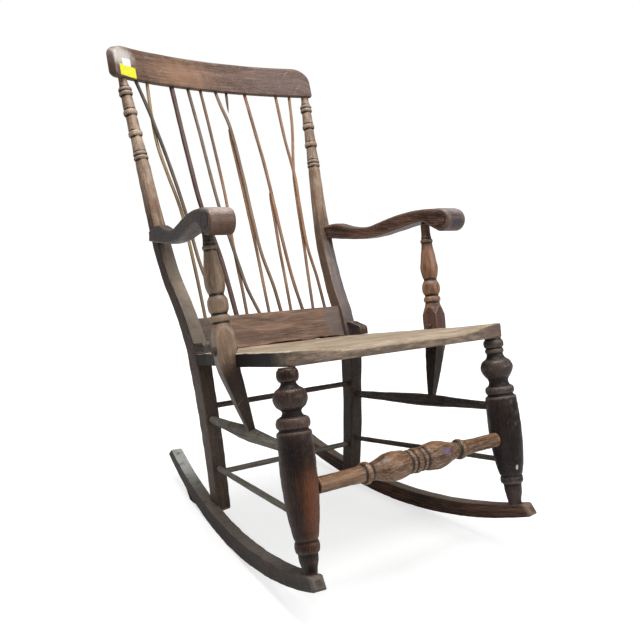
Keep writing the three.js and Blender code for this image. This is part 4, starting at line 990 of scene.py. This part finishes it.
CHIP_WHITE = (222, 218, 210)
leg_woods = {
    "right": wood("red-brown leg", (22, 13, 10), (50, 29, 22), (112, 70, 50), (132, 106, 92), gloss=0.26,
                  dust=0.03, shine=0.32,
                  rings=0.35, streaks=0.42, rubbed=0.3, blotch=(42, 26, 21), blotched=0.5, scratched=0.15,
                  # The first mark is a painted orange-brown highlight down the edge of the body and the second a
                  # painted grey highlight over the ball and ring.
                  marks=[((-0.24, -0.43, 0.24), (0.02, 0.06, 0.1), (136, 80, 48), 0.55, 0.6, 0.8),
                         ((-0.246, -0.38, 0.345), (0.05, 0.06, 0.035), (98, 82, 76), 0.45, 0.6, 0.8),
                         ((-0.246, -0.39, 0.295), (0.05, 0.06, 0.03), (20, 14, 12), 0.85, 0.7, 1.0),
                         ((-0.247, -0.43, 0.11), (0.05, 0.05, 0.03), (44, 36, 31), 0.7, 0.5, 0.6)]),
    "left": wood("grey-brown leg", (16, 10, 9), (38, 26, 24), (78, 56, 50), (142, 131, 123), gloss=0.26,
                 dust=0.05, shine=0.32,
                 rings=0.3, streaks=0.42, rubbed=0.35, blotch=(74, 62, 58), blotched=0.25, scratched=0.15,
                 # The second mark is a painted grey highlight over the ball.
                 marks=[((0.2397, -0.422, 0.1811), (0.003, 0.006, 0.0055), CHIP_WHITE, 1.0, 0.15, 0.9),
                        ((0.244, -0.36, 0.37), (0.05, 0.06, 0.05), (96, 80, 72), 0.45, 0.6, 0.8),
                        ((0.246, -0.39, 0.24), (0.05, 0.06, 0.06), (34, 20, 20), 0.6, 0.7, 1.0),
                        ((0.247, -0.42, 0.12), (0.05, 0.05, 0.03), (88, 68, 59), 0.5, 0.6, 0.6)]),
}
for hand, side in HANDS.items():
    flip = np.array([side, 1, 1])
    rings, grain = turned(LEG_TURNING[hand], LEG_TOP * flip, LEG_FOOT * flip, 80, 1.15, 2 + side)
    carve(f"front_leg_{hand}", rings, grain, leg_woods[hand])


def leg_at(z):
    """The point on the left leg's middle line at a height."""
    return LEG_TOP + (LEG_FOOT - LEG_TOP) * (LEG_TOP[2] - z) / (LEG_TOP[2] - LEG_FOOT[2])


# Front stretcher
# A show piece between the legs: two vases, three reeds in the middle and a ring towards each end. Its stain is
# worn golden, most likely by feet.
STRETCHER_HEIGHT = 211
stretcher_end = leg_at(STRETCHER_HEIGHT)
reach = stretcher_end[0] - 8
HALF_TURNING = [(0, 47), (4, 46), (7.5, 41), (8.5, 41), (12, 44.5), (15, 44.6), (19, 41), (20.5, 40.6),
                *swell((22, 42.5), (26, 47), (36, 51), (52, 53.5), (68, 49), (86, 38), (98, 32.5), (104, 31.5)),
                (106, 33), *bead(108, 119, 34, 40.5), (120.5, 31),
                (reach - 90, 28), (reach - 24, 28.5), (reach - 22, 19), (reach, 18), (reach, 0)]
whole_turning = [(-s, d) for s, d in reversed(HALF_TURNING[1:])] + HALF_TURNING
middle = np.array([0, stretcher_end[1], stretcher_end[2]])
rings, grain = turned(whole_turning, middle, middle + [1, 0, 0], 72, 1.15, 4)
stretcher_wood = wood(
    "golden worn stretcher", (74, 46, 30), (156, 117, 84), (212, 175, 137), (204, 170, 134), gloss=0.22,
    dust=0.02, rings=0.3,
    rubbed=0.12, streaks=0.45, soiled=0.95, scratched=0.4, blotch=(92, 60, 40), blotched=0.42, shine=0.5,
    marks=[((0.062, -0.405, 0.243), (0.011, 0.02, 0.005), (122, 112, 160), 0.6, 0.6, 1.2)])
carve("front_stretcher", rings, grain, stretcher_wood)

# Side and back stretchers
# Plain shaved rods, the upper side ones swollen in the middle to carry the arm posts' tips; dusty and grey.
SIDE_RODS = {"upper": (223, 270, 15, 28), "lower": (118, 165, 11, 12.5)}
BACK_RODS = {"upper": 248, "lower": 105}
BACK_ROD_SIZE = 12.5
rod_woods = {
    ("upper", 1): wood("dark rod", (42, 33, 29), (80, 66, 59), (116, 101, 91), (150, 140, 130), gloss=0.4,
                       dust=0.55),
    ("upper", -1): wood("dusty rod", (86, 80, 71), (132, 126, 115), (166, 161, 149), (168, 163, 151),
                        gloss=0.75, dust=0.6),
    ("lower", 1): wood("thin brown rod", (70, 58, 50), (96, 82, 72), (124, 110, 98), (140, 128, 116),
                       gloss=0.6, dust=0.4),
    ("lower", -1): wood("thin dusty rod", (92, 88, 80), (128, 124, 115), (156, 152, 143), (160, 156, 146),
                        gloss=0.75, dust=0.6),
}
for hand, side in HANDS.items():
    for level, (rear_z, front_z, end_size, middle_size) in SIDE_RODS.items():
        rear, front = post_at(rear_z), leg_at(front_z)
        way = (front - rear) / np.linalg.norm(front - rear)
        rear, front = rear + 4 * way, front - 6 * way
        line = np.linspace(rear, front, 150) * [side, 1, 1]
        share = np.linspace(0, 1, 150)
        rear_part, front_part = (end_size + (middle_size - end_size) * swollen for swollen in (0.45, 0.4))
        size = flowing([(0, end_size), (15, rear_part), (31.2, middle_size), (46.8, front_part),
                        (60, end_size)])
        thick = np.interp(share * 60, size[:, 0], size[:, 1])[:, None] / 2
        rings, grain = whittled(line, thick, 3 + side, 28, 0.06)
        name = f"side_stretcher_{level}_{hand}"
        carve(name, rings, grain, rod_woods[level, side])
back_rod_woods = {
    "upper": wood("upper back rod", (62, 48, 42), (104, 84, 76), (134, 116, 106), (150, 136, 124), gloss=0.6,
                  dust=0.3),
    "lower": wood("lower back rod", (92, 82, 72), (138, 129, 118), (166, 158, 147), (170, 162, 150),
                  gloss=0.7, dust=0.5),
}
for level, z in BACK_RODS.items():
    end = post_at(z) - [4, 0, 0]
    line = np.linspace(end * [-1, 1, 1], end, 150)
    rings, grain = whittled(line, BACK_ROD_SIZE / 2, z / 50, 24, 0.06, (0, 1, 0))
    carve(f"back_stretcher_{level}", rings, grain, back_rod_woods[level])

# Arms
# Sawn in an S seen from the side, wide in front and narrow where they lap the posts. The front rolls under into
# a scroll with a shallow carved spiral on either cheek. Hands have rounded and polished the top arrises.
SCROLL_Y, SCROLL_HEIGHT, SCROLL_RADIUS = 232, 638.5, 24
ARM_REAR_HEIGHT, ARM_REAR_LAP = 607, 12
ARM_FRONT_X, ARM_PAST_POST = 278, 8
ARM_FRONT_HALF, ARM_REAR_HALF = 27, 13.5
SPIRAL_OUTER, SPIRAL_TURN, SPIRAL_CUT = 23, 13.5, 0.7
ARM_TOP = [(1, 7), (0.93, 14), (0.84, 21), (0.74, 15), (0.64, 12.5), (0.56, 15), (0.48, 24), (0.39, 35),
           (0.3, 44), (0.2, 51.5), (0.1, 55), (0, 57)]
ARM_UNDER = [(0.09, 20), (0.13, 26.5), (0.2, 22), (0.34, 7), (0.48, -8), (0.62, -16), (0.8, -17.5), (1, -16)]
arm_post_centre = post_at(ARM_REAR_HEIGHT)
arm_rear_y = arm_post_centre[1] + ARM_REAR_LAP
arm_run = arm_rear_y - SCROLL_Y


def arm_x(y):
    """Where an arm's middle stands across the chair: it draws in towards the post."""
    drawn_in = arm_post_centre[0] + ARM_PAST_POST - ARM_FRONT_X
    return ARM_FRONT_X + drawn_in * (y - SCROLL_Y) / (arm_post_centre[1] - SCROLL_Y)


def arm_half(y):
    """Half an arm's width at a place from front to back."""
    share = np.clip((y - SCROLL_Y) / (arm_post_centre[1] - SCROLL_Y), 0, 1)
    return ARM_FRONT_HALF + (ARM_REAR_HALF - ARM_FRONT_HALF) * swept(-0.15, 0.8, share)


def arm_profile():
    """The side outline from the middle of the rear end over the top, round the scroll and back underneath.
    With it comes the point of the middle line that each outline point closes on."""
    top = flowing([(SCROLL_Y + s * arm_run, ARM_REAR_HEIGHT + h) for s, h in ARM_TOP], 12)
    low = flowing([(SCROLL_Y + s * arm_run, ARM_REAR_HEIGHT + h) for s, h in ARM_UNDER], 12)
    shares = np.linspace(1, 0.09, 120)
    y = SCROLL_Y + shares * arm_run
    over = np.stack([y, np.interp(y, top[::-1, 0], top[::-1, 1])], -1)
    beneath = np.stack([y, np.interp(y, low[:, 0], low[:, 1])], -1)
    middle = (over + beneath) / 2
    rest = top[top[:, 0] < y[-1]]
    angles = np.radians(np.linspace(100, 300, 60))
    arc = np.stack([SCROLL_Y + SCROLL_RADIUS * np.cos(angles),
                    SCROLL_HEIGHT + SCROLL_RADIUS * np.sin(angles)], -1)
    head = evenly(np.vstack([over[-1], rest[1:-1], arc, beneath[-1]]), 1.3)[1:-1]
    place = np.minimum(np.arange(len(head)), np.arange(len(head))[::-1]) / (len(head) * 0.24)
    inner = middle[-1] + ([SCROLL_Y, SCROLL_HEIGHT] - middle[-1]) * swept(0, 1, place)[:, None]
    closing = np.linspace(0, 1, 9)[1:-1, None]
    rear_up = middle[0] + (over[0] - middle[0]) * closing
    rear_down = beneath[0] + (middle[0] - beneath[0]) * closing
    stop = middle[0] - [8, 0]
    kept = middle.copy()
    kept[:, 0] = np.minimum(kept[:, 0], stop[0])
    outline = np.vstack([rear_up, over, head, beneath[::-1], rear_down])
    target = np.vstack([stop + 0 * rear_up, kept, inner, kept[::-1], stop + 0 * rear_down])
    return outline, target


arm_woods = {
    "right": wood("dark arm", (34, 21, 18), (64, 43, 37), (98, 70, 59), (140, 120, 108), gloss=0.24,
                  dust=0.04, rubbed=0.18, shine=0.38,
                  # The first mark is a painted highlight on the front of the scroll and the second a painted
                  # glare on top of the barrel.
                  marks=[((-0.29, -0.2, 0.65), (0.05, 0.032, 0.04), (142, 112, 97), 0.7, 0.5, 0.6),
                         ((-0.278, -0.156, 0.67), (0.045, 0.03, 0.009), (206, 190, 180), 0.7, 0.7, 0.9),
                         ((-0.24, 0.21, 0.6), (0.035, 0.03, 0.03), (120, 62, 38), 0.6, 0.5, 0.6)]),
    "left": wood("red-brown arm", (48, 30, 24), (112, 77, 61), (148, 110, 90), (160, 138, 122), gloss=0.24,
                 dust=0.08, shine=0.5,
                 # All three marks are painted light: a cool blue-grey on the front of the scroll, a glare on top
                 # of the barrel and a cool highlight along the top near the rear.
                 rubbed=0.25, marks=[((0.3, -0.2, 0.64), (0.055, 0.035, 0.045), (80, 74, 80), 0.85, 0.4, 0.4),
                                     ((0.283, -0.165, 0.67), (0.04, 0.03, 0.009), (168, 164, 166), 0.6, 0.7,
                                      0.9),
                                     ((0.25, 0.14, 0.635), (0.05, 0.09, 0.02), (98, 102, 110), 0.6, 0.5, 0.5)]),
}
# Painted shade on the right arm's outer cheek, the faces that turn to the sitter's right.
painted_light_on_faces(arm_woods["right"], "X", -1, 0.5, 0.63, (42, 22, 18), 0.95)
outline, target = arm_profile()
forward = np.roll(outline, -1, 0) - np.roll(outline, 1, 0)
for _ in range(6):
    forward = (np.roll(forward, 1, 0) + 2 * forward + np.roll(forward, -1, 0)) / 4
forward /= np.linalg.norm(forward, axis=-1, keepdims=True)
inward = np.stack([-forward[:, 1], forward[:, 0]], -1)
if ((target - outline) * inward).sum() < 0:
    inward = -inward
ARM_EASE = 4.5
quarter = np.linspace(0, np.pi / 2, 7)[1:]
face_steps = np.linspace(1, 0, 22)
ring_list = []
for way in (-1, 1):
    rim_points = outline + inward * ARM_EASE
    cheek = []
    for share in face_steps:
        flat = rim_points + (target - rim_points) * share
        from_hub = flat - [SCROLL_Y, SCROLL_HEIGHT]
        hub_distance = np.linalg.norm(from_hub, axis=-1)
        angle = np.mod(np.arctan2(from_hub[:, 1], from_hub[:, 0]) - math.radians(300), 2 * np.pi)
        spiral = SPIRAL_OUTER - SPIRAL_TURN * angle / (2 * np.pi)
        cut = np.exp(-(((hub_distance - spiral) / 1.6) ** 2))
        within = (hub_distance < 26) * (1 - swept(22, 26, hub_distance)) * swept(2, 5, hub_distance)
        cut = SPIRAL_CUT * cut * within
        cheek.append((flat, way * (arm_half(flat[:, 0]) - cut)))
    for angle in quarter:
        flat = outline + inward * ARM_EASE * (1 - math.sin(angle))
        cheek.append((flat, way * (arm_half(flat[:, 0]) - ARM_EASE * (1 - math.cos(angle)))))
    ring_list += cheek if way < 0 else cheek[::-1]
across_top = []
for share in np.linspace(-1, 1, 16)[1:-1]:
    across_top.append((outline, share * (arm_half(outline[:, 0]) - ARM_EASE)))
half_count = len(ring_list) // 2
ring_list = ring_list[:half_count] + across_top + ring_list[half_count:]
for hand, side in HANDS.items():
    flat = np.stack([one[0] for one in ring_list])
    wide = np.stack([one[1] for one in ring_list])
    rings = np.stack([side * (arm_x(flat[..., 0]) + wide), flat[..., 0], flat[..., 1]], -1)
    pushed = 0.3 * (1 + unevenness(rings, 42, 2 * side))
    rings[..., 1] += pushed * inward[:, 0]
    rings[..., 2] += pushed * inward[:, 1] * (np.abs(wide) < arm_half(flat[..., 0]) - 0.1)
    grain = np.stack([flat[..., 0], wide + 40 * side, flat[..., 1] - 600], -1)
    carve(f"arm_{hand}", rings, grain, arm_woods[hand])

# Arm posts
# Turned above the seat with a collar, a vase and a ball, and square where they pass the seat's edge. The turning
# cuts back the top of the square. Below the seat they bend in and taper to a tip in the upper side stretcher.
ARM_POST_TOP = np.array([269.4, 296, 629])
ARM_POST_KNEE = np.array([260, 243, 376])
ARM_POST_TIP = np.array([225.5, 217, 256])
ARM_POST_YAW = math.radians(13)
ARM_POST_BLOCK = 36.5
ARM_POST_TURNING = [(-12, 15), (0, 15), (0, 20), (19, 20), (28, 21.5), (31, 23.5), (33, 22),
                    *bead(35, 43, 24, 27.5), (44.5, 23.6),
                    (46, 24.5), *swell((49, 25), (75, 33), (98, 39), (113, 36), (121, 31), (124, 28)),
                    (125.5, 27.6),
                    *swell((127, 29), (130, 33), (136, 38.4), (145, 40), (153, 37.5), (158, 32.5), (160, 29.6)),
                    *bead(162, 175, 30.5, 38), (176.5, 32), (179, 33), (183, 35), (190, 41), (197, 46),
                    (205, 53)]
post_axis = (ARM_POST_KNEE - ARM_POST_TOP) / np.linalg.norm(ARM_POST_KNEE - ARM_POST_TOP)
knee = float(np.linalg.norm(ARM_POST_KNEE - ARM_POST_TOP)) - 8
bend = ARM_POST_TOP + post_axis * knee
tip_reach = (ARM_POST_TIP - bend) / np.linalg.norm(ARM_POST_TIP - bend)
straight = ARM_POST_TOP + post_axis * np.linspace(-12, knee - 16, 60)[:, None]
lower = np.vstack([bend + tip_reach * 14, bend + tip_reach * 40, bend + tip_reach * 80, ARM_POST_TIP])
arm_post_line = evenly(np.vstack([straight[:-1], flowing(np.vstack([straight[-1], lower]), 16)]), 1.2)
arm_post_run = np.arange(len(arm_post_line)) * np.linalg.norm(arm_post_line[1] - arm_post_line[0]) - 12
_, across, back = frames(arm_post_line, (math.cos(ARM_POST_YAW), math.sin(ARM_POST_YAW), 0))
total = arm_post_run[-1]
square = np.interp(arm_post_run, [0, knee, knee + 0.3 * (total - knee), knee + 0.65 * (total - knee), total],
                   [ARM_POST_BLOCK, ARM_POST_BLOCK, 30, 22, 13]) / 2
station, diameter = np.array(ARM_POST_TURNING).T
limit = np.interp(arm_post_run, station, diameter) / 2
limit = np.where(arm_post_run > 205, 100, limit)
arm_post_woods = {
    "right": wood("grey-golden arm post", (98, 74, 58), (168, 139, 114), (198, 171, 145), (196, 174, 150),
                  gloss=0.34, dust=0.1,
                  rings=0.08, streaks=0.3, rubbed=0.2, blotch=(98, 80, 66), blotched=0.5, soiled=0.95,
                  shine=0.45,
                  # The first mark is a painted shadow under the arm and the second painted shade on the part
                  # below the seat.
                  marks=[((-0.27, -0.095, 0.62), (0.04, 0.04, 0.03), (30, 24, 22), 0.9, 0.3, 0.3),
                         ((-0.235, -0.185, 0.32), (0.06, 0.09, 0.085), (46, 31, 25), 0.93, 0.25, 0.4)]),
    "left": wood("orange-brown arm post", (108, 70, 50), (184, 137, 106), (212, 170, 138), (204, 172, 144),
                 gloss=0.32, dust=0.05,
                 rings=0.08, streaks=0.3, rubbed=0.2, blotch=(112, 76, 54), blotched=0.4, soiled=0.95,
                 shine=0.45,
                 # The first mark is a painted shadow under the arm and the last painted shade on the part below
                 # the seat.
                 marks=[((0.27, -0.095, 0.61), (0.04, 0.04, 0.035), (72, 52, 46), 0.8, 0.3, 0.3),
                        ((0.255, -0.16, 0.425), (0.04, 0.04, 0.04), (84, 60, 54), 0.85, 0.3, 0.3),
                        ((0.23, -0.2, 0.33), (0.04, 0.07, 0.085), (22, 15, 13), 0.95, 0.25, 0.3)]),
}
for hand, side in HANDS.items():
    arris = 1.8 + 0.7 * unevenness(arm_post_line, 40, side)
    base = block_section(square, square, np.minimum(arris, square * 0.5), (8, 8), 5)
    size = np.linalg.norm(base, axis=-1, keepdims=True)
    sections = base * np.minimum(1, limit[:, None, None] / size)
    sections = sections * (1 - 0.012 * (1 + unevenness(arm_post_line, 30, 3 + side)))[:, None, None]
    rings = laid_along(arm_post_line, sections, across, back)
    rings, grain = closed_ends(rings, sections, fibres(arm_post_run, sections))
    rings[..., 0] *= side
    grain[..., 1] += 21 * side
    carve(f"arm_post_{hand}", rings, grain, arm_post_woods[hand])

# Pegs through the arm posts
# A turned peg with a domed head pins each arm post to the seat's edge.
PEG_STATION, PEG_HEAD = 226, 7
post_across = np.array([math.cos(ARM_POST_YAW), math.sin(ARM_POST_YAW), 0])
post_across = post_across - post_axis * (post_across @ post_axis)
post_across /= np.linalg.norm(post_across)
peg_start = ARM_POST_TOP + post_axis * PEG_STATION + post_across * (ARM_POST_BLOCK / 2 + 0.3 + PEG_HEAD)
shaft_end = PEG_HEAD + ARM_POST_BLOCK / 2 + 24
PEG_TURNING = [(0, 0), *swell((0.1, 3), (1.2, 9.5), (3.2, 14.6), (5.5, 17.6), (PEG_HEAD, 18)), (PEG_HEAD, 8),
               (shaft_end, 8), (shaft_end, 0)]
peg_wood = wood("peg", (58, 44, 37), (84, 68, 58), (108, 92, 80), (124, 108, 96), rubbed=0.3, gloss=0.45)
for hand, side in HANDS.items():
    flip = np.array([side, 1, 1])
    rings, grain = turned(PEG_TURNING, peg_start * flip, (peg_start - post_across) * flip, 40, 0.8, side)
    carve(f"arm_peg_{hand}", rings, grain, peg_wood)

# Floor, light and camera
# A plain pale floor in a white room, with a broad soft lamp overhead and a weaker one in front, to the sitter's
# left. The camera stands where the photograph was taken from.
FLOOR_HALF, FLOOR_GREY = 30, 0.62
NEAR_GLOW, FAR_GLOW = 0.68, 0.9
floor_mesh = bpy.data.meshes.new("floor")
corners = [(x * FLOOR_HALF, y * FLOOR_HALF, 0) for x, y in ((-1, -1), (1, -1), (1, 1), (-1, 1))]
floor_mesh.from_pydata(corners, [], [(0, 1, 2, 3)])
floor = bpy.data.objects.new("floor", floor_mesh)
bpy.context.scene.collection.objects.link(floor)
floor_paint = bpy.data.materials.new("pale floor")
floor_paint.use_nodes = True
tree = floor_paint.node_tree
shader = tree.nodes["Principled BSDF"]
shader.inputs["Base Color"].default_value = (FLOOR_GREY, FLOOR_GREY, FLOOR_GREY, 1)
shader.inputs["Roughness"].default_value = 0.9
shader.inputs["Specular IOR Level"].default_value = 0.0
shader.inputs["Emission Color"].default_value = (1, 1, 1, 1)
away = vectors("LENGTH", wire(tree, "TexCoord", result="Object"))
glow = wire(tree, "MapRange", {0: away, 1: 0.5, 2: 2.4, 3: NEAR_GLOW, 4: FAR_GLOW})
feed(shader.inputs["Emission Strength"], times(wire(tree, "LightPath", result="Is Camera Ray"), glow))
floor_mesh.materials.append(floor_paint)

ROOM_LIGHT = 0.31
world = bpy.data.worlds.new("white room")
bpy.context.scene.world = world
world.use_nodes = True
tree = world.node_tree
ambient = tree.nodes["Background"]
ambient.inputs["Color"].default_value = (1, 1, 1, 1)
seen = wire(tree, "LightPath", result="Is Camera Ray")
feed(ambient.inputs["Strength"], wire(tree, "MapRange", {0: seen, 1: 0.0, 2: 1.0, 3: ROOM_LIGHT, 4: 1.0}))


def set_up(thing, place, right, back):
    """Stands a lamp or a camera at a place, with its right side and its back turned the given ways."""
    right, back = (way / np.linalg.norm(way) for way in (right, back))
    turned_so = np.stack([right, np.cross(back, right), back], -1)
    thing.matrix_world = Matrix([[*row, at] for row, at in zip(turned_so, place)] + [[0, 0, 0, 1]])
    bpy.context.scene.collection.objects.link(thing)


for name, place, aim, size, power in (("overhead lamp", (-0.2, -0.3, 2.9), (0, 0, 0.4), 1.7, 73),
                                      ("front lamp", (2.2, -4.3, 2.8), (0, 0, 0.5), 1.8, 60)):
    light = bpy.data.lights.new(name, "AREA")
    light.shape = "SQUARE"
    light.size = size
    light.energy = power
    lamp = bpy.data.objects.new(name, light)
    back = np.subtract(place, aim)
    set_up(lamp, place, np.cross([0, 1, 0.01], back), back)

CAMERA_PLACE = (-0.8906, -1.3112, 0.7268)
CAMERA_RIGHT, CAMERA_AHEAD = np.array([0.8141, -0.5797, 0.0344]), np.array([0.5748, 0.7961, -0.1892])
FOCAL_PIXELS, PICTURE_PIXELS = 745.588, 640
camera_data = bpy.data.cameras.new("camera")
camera_data.sensor_width = 36
camera_data.lens = FOCAL_PIXELS / PICTURE_PIXELS * 36
camera = bpy.data.objects.new("camera", camera_data)
squared = CAMERA_RIGHT - CAMERA_AHEAD * (CAMERA_RIGHT @ CAMERA_AHEAD) / (CAMERA_AHEAD @ CAMERA_AHEAD)
set_up(camera, CAMERA_PLACE, squared, -CAMERA_AHEAD)
bpy.context.scene.camera = camera
bpy.context.scene.view_settings.view_transform = "Standard"
